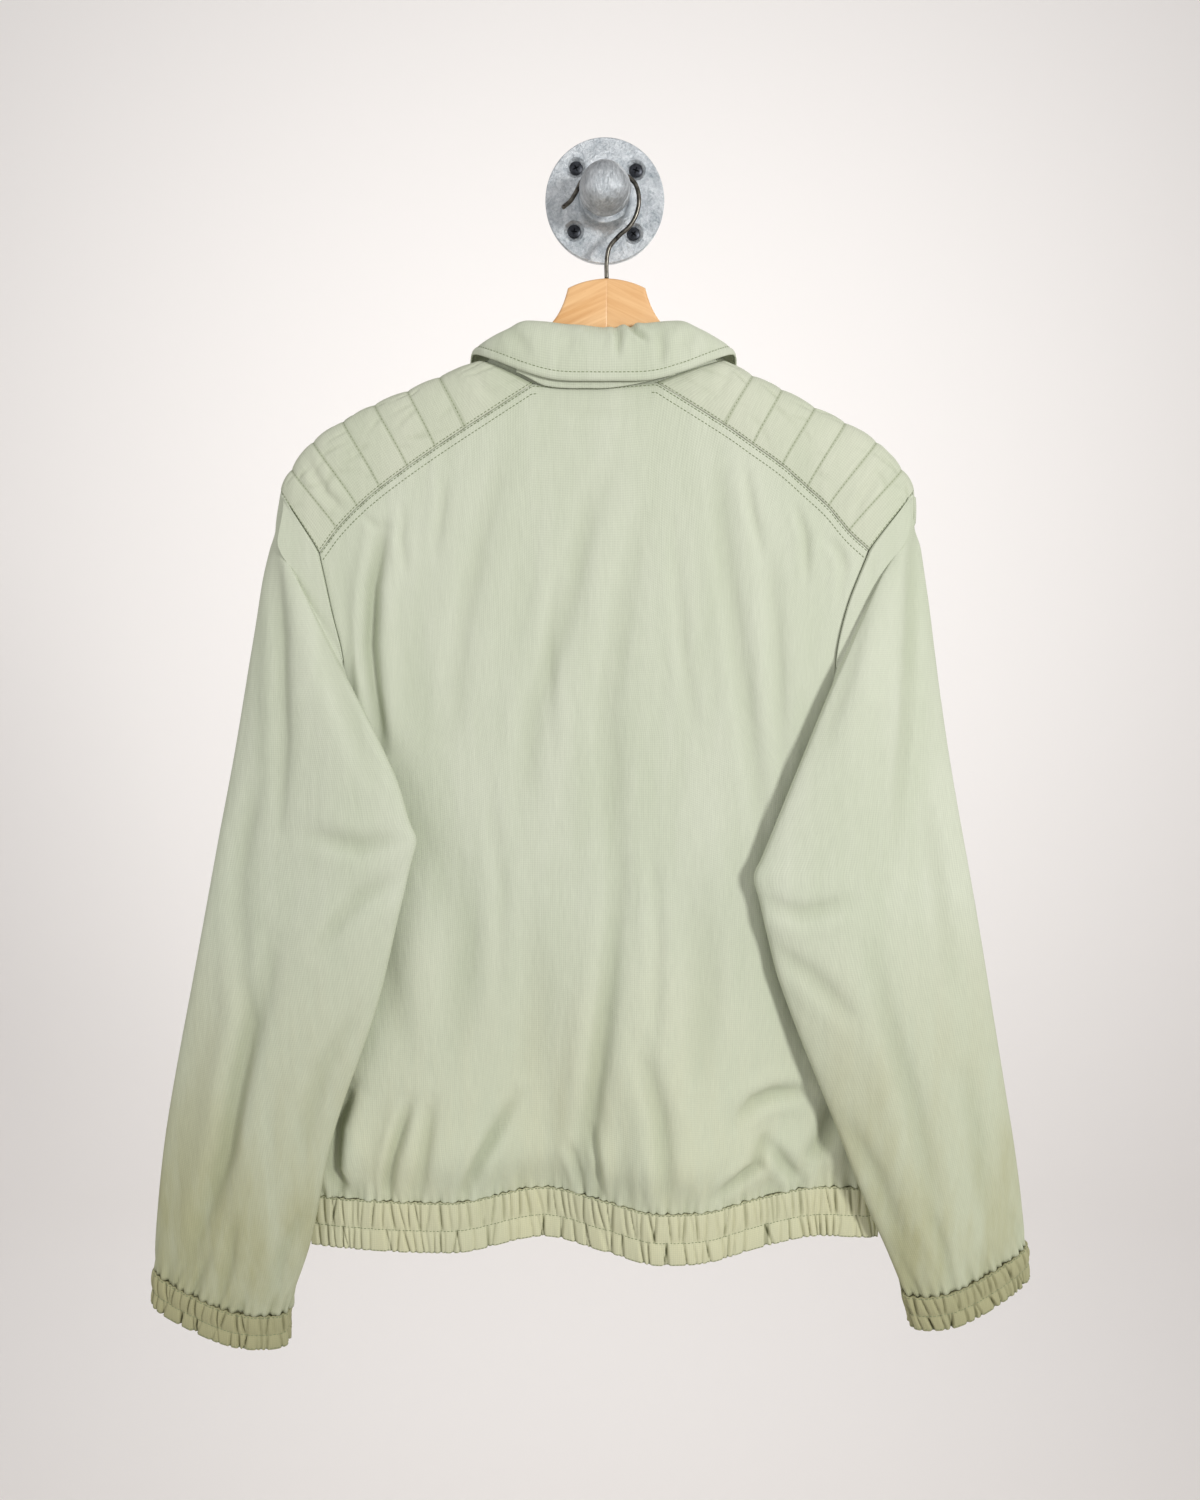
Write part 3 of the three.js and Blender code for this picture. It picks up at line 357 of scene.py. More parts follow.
def sleeveRow(side, z, shares):
    sign = signs[side]
    cuff = cuffs[side]
    lean = float(ease((z - leanStartZ) / (cuff["seamZ"] - leanStartZ)))
    outerZ, innerZ = z + 0.5 * cuff["tilt"] * lean, z - 0.5 * cuff["tilt"] * lean
    sag = cuff["sag"] * lean
    inner = [float(read(innerRows[side], "z", innerZ, key)) for key in ("x", "t")]
    outer = [float(read(outerRows[side], "z", outerZ, key)) for key in ("x", "t")]
    underarm = [float(read(underarmRows[side], "z", innerZ, key)) for key in ("x", "t")]
    isOpen = z > form["armpitZ"] + 1
    start = armholePoint(side, z, False) if isOpen else underarm
    end = armholePoint(side, z, True) if isOpen else [underarm[0], underarm[1] - sleeveForm["slit"]]
    thick = sleeveForm["thickShare"] * abs(outer[0] - inner[0]) + sleeveForm["thinnest"]
    thick = min(thick, sleeveForm["thickest"])
    bend = min(sleeveForm["bendShare"] * thick, sleeveForm["foldRound"])
    bulge = lambda f, out: [mix(inner[0], outer[0], f), mix(inner[1], outer[1], f) + out]
    openSide = mix(end[1], outer[1], 0.35) - 2
    closedSide = mix(end[1], outer[1], 0.5) - 0.6 * thick
    plan = [
        start,
        [mix(start[0], inner[0], 0.55), mix(start[1], inner[1] - bend, 0.55)],
        [inner[0] + sign * 1.5, inner[1] - bend],
        [inner[0] + sign * 1.5, inner[1] + 0.6 * bend],
        bulge(0.3, 0.95 * thick),
        bulge(0.7, 0.8 * thick),
        [outer[0] - sign, outer[1] + 0.7 * bend],
        [outer[0] - sign, outer[1] - 0.7 * bend],
        [mix(outer[0], end[0], 0.5), openSide if isOpen else closedSide],
        end,
    ]
    x, t = splineThrough(plan, shares).T
    across = np.clip((x - inner[0]) / (outer[0] - inner[0]), 0, 1)
    towardsRoom = np.clip((t - mix(inner[1], outer[1], across)) / thick, 0, 1)
    place = mix(innerZ, outerZ, across) - sag * towardsRoom
    nearArmpit = bell(z - form["armpitZ"], sleeveForm["armpitSpread"])
    clear = sleeveForm["clear"] + sleeveForm["armpitGap"] * nearArmpit
    hidden = (shares > 0) & (shares < sleeveForm["hiddenShare"]) & (sectionShare(x, place) > 0)
    t = np.where(hidden, np.maximum(t, backT(x, place) + clear), t)
    return np.stack((x, t, place), axis=1)


def collarLine(s, stem):
    sign, s = np.where(np.asarray(s) < 0, -1, 1), np.abs(s)
    x, t, z = (read(collarRows, "s", s, stem + axis) for axis in "XTZ")
    return collarX + sign * x, t, z


# The neck seam, from the left front (s = -1) over the back (0) to the right front (1).
def neckSeam(s):
    s = np.atleast_1d(np.asarray(s, float))
    result = np.zeros((3, len(s)))
    leftX, _, leftZ = yokePoint("left", 0.0, 0.0)
    rightX, _, rightZ = yokePoint("right", 0.0, 0.0)
    for side, sign in signs.items():
        here = (s < 0) if side == "left" else (s >= 0)
        far = np.abs(s)
        corner = leftX if side == "left" else rightX
        x = mix((leftX + rightX) / 2, corner, far / 0.2)
        z = (leftZ + rightZ) / 2 - 2 * (1 - far / 0.2)
        atBack = np.array([x, backT(x, z), z])
        v = np.where(far < 0.42, 0.5 * (far - 0.2) / 0.22, 0.5 + 0.5 * (far - 0.42) / 0.18)
        overYoke = np.array(yokePoint(side, 0.0, np.clip(v, 0, 1)))
        cornerX, _, cornerZ = yokePoint(side, 0.0, 1.0)
        turn = (far - 0.6) / 0.4 * np.pi / 2
        x = mix(cornerX, zipper["x"] + sign * zipper["halfGap"], 1 - np.cos(turn))
        z = mix(cornerZ, form["neckFrontZ"], np.sin(turn))
        atFront = np.array([x, frontT(x, z), z])
        seam = np.where(far < 0.2, atBack, np.where(far < 0.6, overYoke, atFront))
        result = np.where(here, seam, result)
    return result


# A mesh object from places in millimetres, with a UV map and point attributes where they are given.
def addMesh(name, places, faces, uv=None, values=None):
    mesh = bpy.data.meshes.new(name)
    mesh.from_pydata(np.asarray(places) * millimetre, [], faces)
    mesh.polygons.foreach_set("use_smooth", np.ones(len(mesh.polygons), bool))
    corners = np.empty(len(mesh.loops), np.int32)
    mesh.loops.foreach_get("vertex_index", corners)
    if uv is not None:
        layer = mesh.uv_layers.new(name="cloth")
        layer.data.foreach_set("uv", np.asarray(uv, np.float32)[corners].ravel())
    for key, value in (values or {}).items():
        layer = mesh.attributes.new(key, "FLOAT", "POINT")
        layer.data.foreach_set("value", np.asarray(value, np.float32))
    mesh.update()
    piece = bpy.data.objects.new(name, mesh)
    scene.collection.objects.link(piece)
    return piece


rimInset = 0.15  # share of the wall that an edge is drawn in


# A closed cloth wall with a slightly bevelled rim. `points` is the outer face, top row first, columns
# left to right as its outside is seen; `height` lifts the cloth along its normal, in millimetres.
# The UV map is the cloth laid flat, in metres. The attribute `fold` is how deep a point lies, or a given
# `deep` mask; the finish darkens the colour there as painted shade.
def clothPiece(name, points, wall, height, deep):
    rows, columns = points.shape[:2]
    height = np.broadcast_to(np.asarray(height, float), (rows, columns))
    outer = points + gridNormals(points) * height[..., None]
    normals = gridNormals(outer)
    inner = outer - normals * wall
    inset = rimInset * wall
    middle = (outer + inner) / 2
    for axes in ((0, 1, 2), (1, 0, 2)):
        outside, within, core = (layer.transpose(axes) for layer in (outer, inner, middle))
        for here, inside in ((0, 1), (-1, -2)):
            way = core[inside] - core[here]
            way /= np.maximum(np.linalg.norm(way, axis=1, keepdims=True), 1e-6)
            outside[here] += way * inset
            within[here] += way * inset
    down = stepLengths(points, 0).mean(axis=1)
    over = stepLengths(points, 1).mean(axis=0)
    v = -np.concatenate(([0], np.cumsum(down)))
    u = np.concatenate(([0], np.cumsum(over)))
    uvGrid = np.stack(np.meshgrid(u, v), axis=2).reshape(-1, 2) * millimetre
    index = np.arange(rows * columns).reshape(rows, columns)
    a, b, c, d = index[:-1, :-1], index[1:, :-1], index[:-1, 1:], index[1:, 1:]
    under = rows * columns
    front = np.stack((a, b, d, c), axis=2).reshape(-1, 4)
    back = np.stack((a, c, d, b), axis=2).reshape(-1, 4) + under
    loop = np.concatenate((index[:, 0], index[-1, 1:], index[-2::-1, -1], index[0, -2:0:-1]))
    rim = 2 * under + np.arange(len(loop))
    after = np.roll(loop, -1)
    rimAfter = np.roll(rim, -1)
    outerRim = np.stack((after, loop, rim, rimAfter), axis=1)
    innerRim = np.stack((rimAfter, rim, loop + under, after + under), axis=1)
    places = np.concatenate((outer.reshape(-1, 3), inner.reshape(-1, 3), middle.reshape(-1, 3)[loop]))
    faces = np.concatenate((front, back, outerRim, innerRim)).tolist()
    uv = np.concatenate((uvGrid, uvGrid, uvGrid[loop]))
    # Painted shade: the depth of the troughs, or the given mask, is what the finish darkens.
    fold = (np.clip(-height / 8, -1, 1) if deep is None else deep).ravel()
    values = {"fold": np.concatenate((fold, fold, fold[loop]))}
    return addMesh(name, places, faces, uv, values)


def world(x, t, z):
    return np.stack((x, -np.asarray(t), z), axis=-1)


# Random gathers along an elastic seam: where each ridge stands, how wide, how tall and how it drifts.
def gatherList(start, end, spacing, seed):
    random = np.random.default_rng(seed)
    places = []
    place = start
    while place < end:
        places.append(place)
        place += spacing * random.uniform(0.55, 1.5)
    count = len(places)
    return {
        "at": np.array(places),
        "width": random.uniform(0.75, 1.5, count) * spacing * 0.15,
        "tall": random.uniform(0.45, 1.0, count),
        "drift": random.normal(0.05, 0.11, count),
        "reach": random.uniform(0.25, 1.0, count) ** 1.6,
    }


# Ruched cloth at distance `down` from where the list starts: narrow valleys between soft ridges.
def ruched(listed, along, down):
    height = np.zeros(np.shape(along))
    for k in range(len(listed["at"])):
        offset = along - listed["at"][k] - listed["drift"][k] * down
        height -= listed["tall"][k] * bell(offset, listed["width"][k])
    return height


# Puckers that run up from an elastic seam into the plain cloth and die out.
def puckers(listed, along, up, depth, farthest):
    height = np.zeros(np.shape(along))
    for k in range(len(listed["at"])):
        reach = 5 + farthest * listed["reach"][k]
        offset = along - listed["at"][k] + 0.6 * listed["drift"][k] * up
        spread = listed["width"][k] * (1.8 + up / 11)
        height -= depth * listed["tall"][k] * bell(offset, spread) * np.exp(-np.maximum(up, 0) / reach)
    return height


# Columns run from left to right as the outside is seen, so one side's grids are turned over.
def asSeen(isTurned, *grids):
    return [grid[:, ::-1] if isTurned else grid for grid in grids]


sheets = {}


# Shares from 0 to 1, closer together at both ends.
def crowdEnds(count, share):
    u = np.linspace(0, 1, count + 1)
    return mix(u, 0.5 - 0.5 * np.cos(np.pi * u), share)


# Keeps the piece's grid for stitches, names the piece after the node it stands for, hides that node and hangs
# the piece on the jacket. The cuts, the longest row and column of the built cloth in metres, all round on a
# sleeve or cuff, are not used.
def cloth(node, points, wall, height, slotName, flat, held, restsOn, area=None, deep=None):
    piece = clothPiece("cloth_" + node, points, wall, height, deep)
    grid = points + gridNormals(points) * np.broadcast_to(height, points.shape[:2])[..., None]
    sheets[node] = {"piece": piece, "grid": grid, "normals": gridNormals(grid)}
    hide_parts(node)
    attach(piece, "jacket")
    return piece


# The back panel. Each fold is its depth, its half width, then its path as (x, z).
backSheet = {
    "columns": 236, "rows": 190, "crowd": 0.25, "even": 0.7, "tall": 640,
    "neckHalf": 45, "flat": (0.57, 0.65), "area": 0.277,
    "folds": [
        (2.6, 9, (-70, -176), (-86, -224), (-108, -320), (-117, -399)),
        (3.4, 10, (6, -196), (-10, -224), (-28, -294), (-51, -372), (-63, -452)),
        (3, 11, (26, -231), (14, -294), (3, -372), (6, -452), (12, -540)),
        (4.2, 9, (12, -500), (2, -600), (-11, -705), (-17, -738), (-8, -772)),
        (3, 8, (81, -184), (86, -231), (100, -320), (112, -399), (123, -479)),
        (2.6, 7, (123, -255), (129, -313), (133, -373), (137, -430)),
        (2.2, 4, (165, -247), (176, -257), (181, -271), (179, -296)),
        (9, 6, (-165, -240), (-174, -284), (-177, -327), (-175, -361), (-171, -408)),
        (1.6, 3, (-181, -231), (-169, -240)),
        (7, 8, (-205, -680), (-219, -716), (-223, -758), (-212, -778)),
        (3.6, 7, (106, -706), (120, -692), (136, -687), (164, -688)),
        (3.4, 6, (130, -718), (124, -748), (92, -770)),
        (3.2, 6, (132, -726), (144, -744), (160, -770)),
        (4.4, 9, (190, -700), (180, -730), (168, -752)),
        (3.8, 5, (-155, -690), (-170, -737), (-178, -779)),
        (2.8, 6, (-138, -690), (-146, -745), (-151, -779)),
        (3.6, 6, (-70, -690), (-86, -718), (-100, -742), (-116, -779)),
        (3, 3.5, (-10, -715), (-6, -742), (-3, -780)),
        (2.2, 4, (-28, -730), (-22, -755), (-18, -780)),
        (3, 9, (30, -640), (44, -700), (52, -782)),
        (2.6, 14, (-190, -480), (-176, -560), (-160, -650)),
        (2.2, 16, (-120, -470), (-110, -560), (-118, -660)),
        (1.8, 15, (-60, -520), (-52, -600), (-60, -680)),
        (2.2, 16, (70, -500), (80, -590), (76, -680)),
        (2.6, 14, (150, -480), (146, -560), (160, -650)),
        (0.8, 5, (-40, -150), (-20, -158), (10, -158), (28, -150)),
        (2.2, 3.5, (-149, -226), (-152, -248), (-150, -274)),
        (2, 4, (-118, -205), (-122, -232), (-128, -262)),
        (2.2, 4, (104, -196), (109, -226), (118, -262)),
        (2.4, 3.5, (141, -222), (150, -246), (152, -280)),
        (1.6, 5, (-36, -260), (-42, -330), (-40, -420)),
        (1.8, 5, (52, -240), (58, -320), (70, -400)),
        (1.8, 6, (-88, -430), (-80, -520), (-84, -610)),
        (1.8, 6, (36, -470), (42, -560), (38, -640)),
    ],
}
# Each list: from x, to x, spacing, seed.
waistGathers = gatherList(-243, 227, 6.6, 11)
waistGathersLow = gatherList(-244, 228, 6.0, 12)
seamPuckers = gatherList(-243, 227, 9, 13)


# Shares down a panel: even steps down to `start`, then closer and closer to the waist seam.
def crowdRows(count, start):
    return np.unique(np.concatenate((
        np.linspace(0, start, int(count * start * 0.9) + 1),
        mix(start, 1, 1 - (1 - np.linspace(0, 1, int(count * (1 - start) * 1.1) + 1)) ** 1.25),
    )))


neckStart, neckEnd = crowdEnds(20, 0.55)[[8, 12]]  # shares of the top edge between which the neck lies
neckLeft, neckRight = (yokeRows[side][0] for side in signs)
endLeft, endRight = (float(sideEdge(side, 1.0)[0]) for side in signs)


# The back's top edge: the left yoke's seam, the neck between the yokes, the right yoke's seam.
def backTop(u):
    leftX, _, leftZ = yokePoint("left", 1 - np.clip(u / neckStart, 0, 1), 0.0)
    rightX, _, rightZ = yokePoint("right", np.clip((u - neckEnd) / (1 - neckEnd), 0, 1), 0.0)
    f = np.clip((u - neckStart) / (neckEnd - neckStart), 0, 1)
    middleX = mix(neckLeft["seamX"], neckRight["seamX"], f)
    middleZ = mix(neckLeft["seamZ"], neckRight["seamZ"], f) - 2 * np.sin(np.pi * f)
    x = np.where(u <= neckStart, leftX, np.where(u >= neckEnd, rightX, middleX))
    return x, np.where(u <= neckStart, leftZ, np.where(u >= neckEnd, rightZ, middleZ))


def backFoot(u):
    x = mix(endLeft, endRight, u)
    return x, waistSeam(x)


across = crowdEnds(backSheet["columns"], backSheet["crowd"])
down = crowdRows(backSheet["rows"], backSheet["even"])
x, t, z = patch(
    backTop, backFoot, lambda v: sideEdge("left", v), lambda v: sideEdge("right", v), across, down, backT)
u, v = np.meshgrid(across, down)
above = z - waistSeam(x)
softer = mix(0.9, 1.5, ease((-z - 520) / 150))
height = softer * creases(x, z, backSheet["folds"]) * ease(np.minimum(u, 1 - u) / 0.05) * ease(v / 0.03)
besideNeck = ease((np.abs(x) - backSheet["neckHalf"]) / 20)
height += puckers(seamPuckers, x, v * backSheet["tall"], 0.9, 12) * besideNeck
height += puckers(waistGathers, x, above, 4.0, 24)
cloth(
    "back_panel", world(x, t, z), walls["cloth"], height, "sage_poplin",
    backSheet["flat"], "hung", ["cloth_yoke_left", "cloth_yoke_right"], backSheet["area"],
)
print("back panel made")

frontSheet = {
    "columns": 60, "rows": 130, "neckShare": 0.62, "flat": (0.26, 0.63), "area": 0.133,
    "folds": {
        "left": [
            (2.2, 12, (-70, -230), (-78, -330), (-74, -450)),
            (2.4, 13, (-150, -260), (-140, -360), (-150, -480)),
            (2.2, 12, (-200, -420), (-190, -520), (-196, -640)),
            (2.4, 14, (-110, -520), (-120, -620), (-108, -760)),
            (2, 11, (-50, -560), (-44, -660), (-56, -772)),
            (2.6, 8, (-170, -660), (-176, -720), (-166, -775)),
        ],
        "right": [
            (2.2, 12, (62, -230), (70, -340), (64, -460)),
            (2.4, 13, (140, -260), (130, -370), (140, -500)),
            (2.2, 12, (190, -440), (182, -540), (190, -660)),
            (2.4, 14, (96, -540), (104, -640), (94, -765)),
            (2, 11, (40, -580), (34, -680), (46, -772)),
            (2.6, 8, (160, -650), (166, -715), (154, -775)),
        ],
    },
}
for side, sign in signs.items():
    edgeX = zipper["x"] + sign * zipper["halfGap"]
    neckShare = frontSheet["neckShare"]

    def top(u):
        seamX, _, seamZ = yokePoint(side, 1 - np.clip(u / neckShare, 0, 1), 1.0)
        turn = (u - neckShare) / (1 - neckShare) * np.pi / 2
        gap = form["frontGap"] * np.sin(np.pi * u / neckShare)
        x = np.where(u <= neckShare, seamX, mix(seamX, edgeX, 1 - np.cos(turn)))
        z = np.where(u <= neckShare, seamZ - gap, mix(seamZ, form["neckFrontZ"], np.sin(turn)))
        return x, z

    footX, footZ = (float(value) for value in sideEdge(side, 1.0))
    bottom = lambda u: (mix(footX, edgeX, u), footZ + 0 * u)
    inside = lambda v: (edgeX + 0 * v, mix(form["neckFrontZ"], footZ, v))
    across = crowdEnds(frontSheet["columns"], 0.3)
    down = np.linspace(0, 1, frontSheet["rows"] + 1)
    x, t, z = patch(top, bottom, lambda v: sideEdge(side, v), inside, across, down, frontT)
    u, v = np.meshgrid(across, down)
    height = creases(x, z, frontSheet["folds"][side]) * ease(u / 0.08) * ease((1 - u) / 0.08) * ease(v / 0.05)
    height = np.minimum(height, 1.5) + puckers(waistGathers, x, z - footZ, 1.1, 18)
    points, height = asSeen(side == "left", world(x, t, z), height)
    cloth(
        f"front_{side}", points, walls["cloth"], height, "sage_poplin",
        frontSheet["flat"], "hung", [f"cloth_yoke_{side}"], frontSheet["area"],
    )
print("fronts made")

# Gathered bands: an elastic strip inside, two rows of stitching that pinch it.
band = {
    "rows": 22, "step": 0.9, "ruche": 3.2, "stitchShare": 0.56, "endShare": 1.12, "swell": 1.5,
    "backFlat": (0.62, 0.045), "frontFlat": (0.31, 0.045),
}


# Gathers of a band, pinched at both seams and at the row of stitching between.
def bandHeight(along, share, upper, lower, deep):
    middle = band["stitchShare"]
    upperWave = np.sin(np.pi * share / middle)
    lowerWave = np.sin(np.pi * (share - middle) / (band["endShare"] - middle))
    wave = np.where(share < middle, upperWave, lowerWave)
    pinch = 0.3 + 0.7 * np.clip(wave, 0, 1) ** 0.6
    blend = ease((share - middle + 0.04) / 0.08)
    down = share * form["bandHeight"]
    gathered = mix(ruched(upper, along, down), ruched(lower, along, down), blend)
    swell = band["swell"] * np.clip(wave, 0, 1) ** 0.7
    return deep * gathered * pinch + swell


def waistband(node, startX, endX, isFront, flat):
    count = int(abs(endX - startX) / band["step"])
    sideX = startX if startX + endX < 0 else endX
    across = crowdEnds(count, 0.2 if isFront else 0.3)
    share = np.linspace(0, 1, band["rows"] + 1)
    u, v = np.meshgrid(across, share)
    x = mix(startX, endX, u)
    seam = waistSeam(sideX) if isFront else waistSeam(x)
    z = seam - v * form["bandHeight"]
    t = frontT(x, z) if isFront else backT(x, z)
    height = bandHeight(x, v, waistGathers, waistGathersLow, band["ruche"])
    points, height = asSeen(isFront, world(x, t, z), height)
    restsOn = "cloth_" + (node.replace("waistband_", "") if isFront else "back_panel")
    cloth(node, points, walls["band"], height, "ruched_poplin", flat, "gathered", [restsOn])


waistband("waistband_back", endLeft, endRight, False, band["backFlat"])
waistband("waistband_front_left", endLeft, zipper["x"] - zipper["halfGap"], True, band["frontFlat"])
waistband("waistband_front_right", zipper["x"] + zipper["halfGap"], endRight, True, band["frontFlat"])
print("waistband made")


# Shoulder yokes: padded channels, stitched down.
yoke = {
    "perChannel": 16, "turns": 90, "wrinkles": 10, "puff": 1.5, "wrinkled": 1.9, "girth": 150,
    "seeds": {"left": 51, "right": 52}, "flat": (0.2, 0.14), "area": 0.0229,
}
yokeFolds = {
    "left": [
        (2.2, 4, (-222, -190), (-208, -215), (-190, -232)),
        (1.2, 4, (-98, -122), (-88, -142), (-70, -150)),
    ],
    "right": [
        (1.6, 4, (212, -186), (196, -212), (180, -236)),
        (1.2, 4, (94, -122), (84, -142), (66, -150)),
    ],
}


for side in signs:
    channels = len(yokeRows[side]) - 1
    across = np.linspace(0, 1, channels * yoke["perChannel"] + 1)
    turn = np.linspace(1, 0, yoke["turns"] + 1)
    u, v = np.meshgrid(across, turn)
    channel = np.abs(np.sin(np.pi * u * channels))
    points = world(*yokePoint(side, u, v))
    girth = v * yoke["girth"]
    random = np.random.default_rng(yoke["seeds"][side])
    ripple = np.zeros(u.shape)
    for k in range(channels * yoke["wrinkles"]):
        inChannel = u * channels - k // yoke["wrinkles"]
        fromStitch = inChannel if k % 2 else 1 - inChannel
        place, lean = random.uniform(6, yoke["girth"] - 6), random.uniform(-16, 16)
        spread = random.uniform(1.3, 2.4)
        reach, depth = random.uniform(0.35, 1.0), random.uniform(0.5, 1.3)
        fade = ease(fromStitch / 0.1) * np.clip(1 - fromStitch / reach, 0, 1) ** 0.7
        isInside = np.abs(inChannel - 0.5) <= 0.5
        ripple -= depth * bell(girth - place - lean * fromStitch, spread) * fade * isInside
    height = yoke["puff"] * channel ** 0.55 + yoke["wrinkled"] * ripple
    height = height * np.clip(np.sin(np.pi * v), 0, 1) ** 0.7
    # Painted shade along the stitched grooves and in the wrinkle troughs, passed to the cloth as its `fold`
    # mask.
    paintedGrooveShade = np.exp(-(channel / 0.09) ** 2) + 0.25 * np.clip(-ripple, 0, 1)
    height += creases(points[..., 0], points[..., 2], yokeFolds[side]) * ease(v / 0.08) * (v < 0.62)
    points, height, paintedGrooveShade = asSeen(side == "left", points, height, paintedGrooveShade)
    cloth(
        f"yoke_{side}", points, walls["quilt"], height, "quilted_poplin",
        yoke["flat"], "hung", [f"hanger_{side}"], yoke["area"], np.clip(paintedGrooveShade, 0, 1),
    )
print("yokes made")


# Sleeves and cuffs. The spans are how many columns lie between two plan points of a row.
sleeve = {
    "spans": (12, 10, 8, 18, 34, 24, 8, 12, 10), "step": 3.5, "spacing": 6.2,
    "puckers": (4.5, 24), "seeds": {"left": 21, "right": 22}, "flat": (0.37, 0.71), "area": 0.178,
    "roomFolds": {
        "left": [
            (3.2, 7, (-249, -246), (-243, -320), (-243, -393), (-250, -470)),
            (4.6, 11, (-258, -555), (-272, -615), (-289, -672), (-321, -800)),
            (3.4, 8, (-280, -520), (-285, -587), (-281, -624), (-294, -678), (-304, -733),
             (-327, -791), (-345, -850)),
            (2.4, 8, (-212, -300), (-196, -360), (-176, -420)),
            (3, 8, (-156, -470), (-186, -478), (-226, -470)),
            (3, 8, (-158, -500), (-190, -520), (-222, -560)),
            (2.8, 9, (-192, -610), (-222, -660), (-246, -740)),
            (2.2, 9, (-262, -420), (-280, -480), (-292, -560)),
            (3, 6, (-240, -780), (-262, -820), (-276, -868)),
            (2.6, 6, (-300, -790), (-306, -830), (-318, -868)),
        ],
        "right": [
            (3.2, 7, (233, -220), (232, -291), (228, -397), (222, -490)),
            (2.2, 8, (196, -290), (180, -350), (160, -410)),
            (2.8, 8, (120, -520), (150, -530), (190, -520)),
            (2.6, 8, (128, -556), (160, -580), (196, -620)),
            (2.4, 9, (246, -440), (262, -520), (276, -600)),
            (3.4, 10, (206, -560), (222, -620), (248, -700), (268, -790)),
            (2.8, 8, (190, -700), (218, -750), (244, -820)),
            (2.6, 9, (288, -660), (302, -730), (310, -800)),
            (2.8, 6, (262, -780), (276, -820), (284, -858)),
        ],
    },
    "wallFolds": {
        "left": [
            (2.2, 9, (-268, -300), (-276, -400), (-270, -470)),
            (2.6, 9, (-262, -480), (-290, -520), (-300, -600)),
            (2.8, 10, (-280, -620), (-306, -700), (-330, -800)),
            (2.4, 8, (-300, -740), (-300, -800), (-312, -860)),
        ],
        "right": [
            (2.2, 9, (244, -300), (256, -400), (252, -470)),
            (2.6, 9, (246, -480), (268, -520), (280, -600)),
            (2.8, 10, (262, -620), (288, -700), (306, -790)),
            (2.4, 8, (280, -730), (282, -790), (294, -840)),
        ],
    },
}
spans = sleeve["spans"]
sleeveShares = np.concatenate([
    (k + np.arange(count) / count) / len(spans) for k, count in enumerate(spans)] + [[1.0]])


def aroundLength(grid):
    return np.concatenate((np.zeros((len(grid), 1)), np.cumsum(stepLengths(grid, 1), axis=1)), axis=1)


# Heights of the sleeve's rows: over the crown, down the armhole, then down the tube to the cuff.
def sleeveRows(side):
    edge = yokeRows[side][-1]
    crown = [
        mix(edge["seamZ"], edge["ridgeZ"], math.sin(math.pi * k / 10) ** form["yokeArch"])
        for k in np.linspace(4, 0, 17)[:-1]
    ]
    count = int((edge["seamZ"] - form["armpitZ"]) / sleeve["step"])
    hole = list(np.linspace(edge["seamZ"], form["armpitZ"] + 1.5, count))
    low = cuffs[side]["seamZ"]
    tube = list(np.linspace(form["armpitZ"] - 1.5, low, int((form["armpitZ"] - low) / sleeve["step"])))
    return crown, hole + tube


# The sleeve's first row, which lies along the end of the yoke.
def sleeveHead(side, z):
    tip = yokeRows[side][-1]
    startX, startT = armholePoint(side, z, False)
    endX, endT = armholePoint(side, z, True)
    f = np.linspace(0, 1, len(sleeveShares))
    rise = 1 - np.abs(2 * f - 1)
    x = mix(mix(startX, endX, f), tip["ridgeX"], rise)
    return world(x, mix(startT, endT, f), mix(z, tip["ridgeZ"], rise))


for side in signs:
    crown, heights = sleeveRows(side)
    head = sleeveHead(side, crown[0])
    rows = [world(*sleeveRow(side, z, sleeveShares).T) for z in crown[1:] + heights]
    # The first rows lie flat on the yoke's edge before the sleeve takes its own shape.
    for k, z in enumerate(crown[1:]):
        rows[k] = mix(sleeveHead(side, z), rows[k], ease((k + 1) / len(crown)))
    grid = np.array([head] + rows)
    u = np.broadcast_to(sleeveShares, grid.shape[:2])
    x, z = grid[..., 0], grid[..., 2]
    onRoom = ease((u - 0.25) / 0.09) * ease((0.76 - u) / 0.06)
    onWall = ease((u - 0.8) / 0.06) * ease((1 - u) / 0.05)
    height = creases(x, z, sleeve["roomFolds"][side]) * onRoom
    height += creases(x, z, sleeve["wallFolds"][side]) * onWall
    down = np.linspace(0, 1, len(grid))[:, None]
    height *= ease(down / 0.06)
    around = aroundLength(grid)
    cuffGathers = gatherList(0, float(around[-1, -1]), sleeve["spacing"], sleeve["seeds"][side])
    upTheSleeve = stepLengths(grid, 0).mean(axis=1)
    up = np.broadcast_to(np.concatenate((np.cumsum(upTheSleeve[::-1])[::-1], [0]))[:, None], u.shape)
    scaled = around / around[:, -1:] * around[-1, -1]
    height += puckers(
        cuffGathers, scaled, up, *sleeve["puckers"]) * ease(u / 0.04) * ease((1 - u) / 0.04)
    sleeve[side] = {"gathers": cuffGathers, "length": float(around[-1, -1])}
    grid, height = asSeen(side == "left", grid, height)
    cloth(
        f"sleeve_{side}", grid, walls["cloth"], height, "sage_poplin",
        sleeve["flat"], "hung", [f"cloth_yoke_{side}"], sleeve["area"],
    )
print("sleeves made")

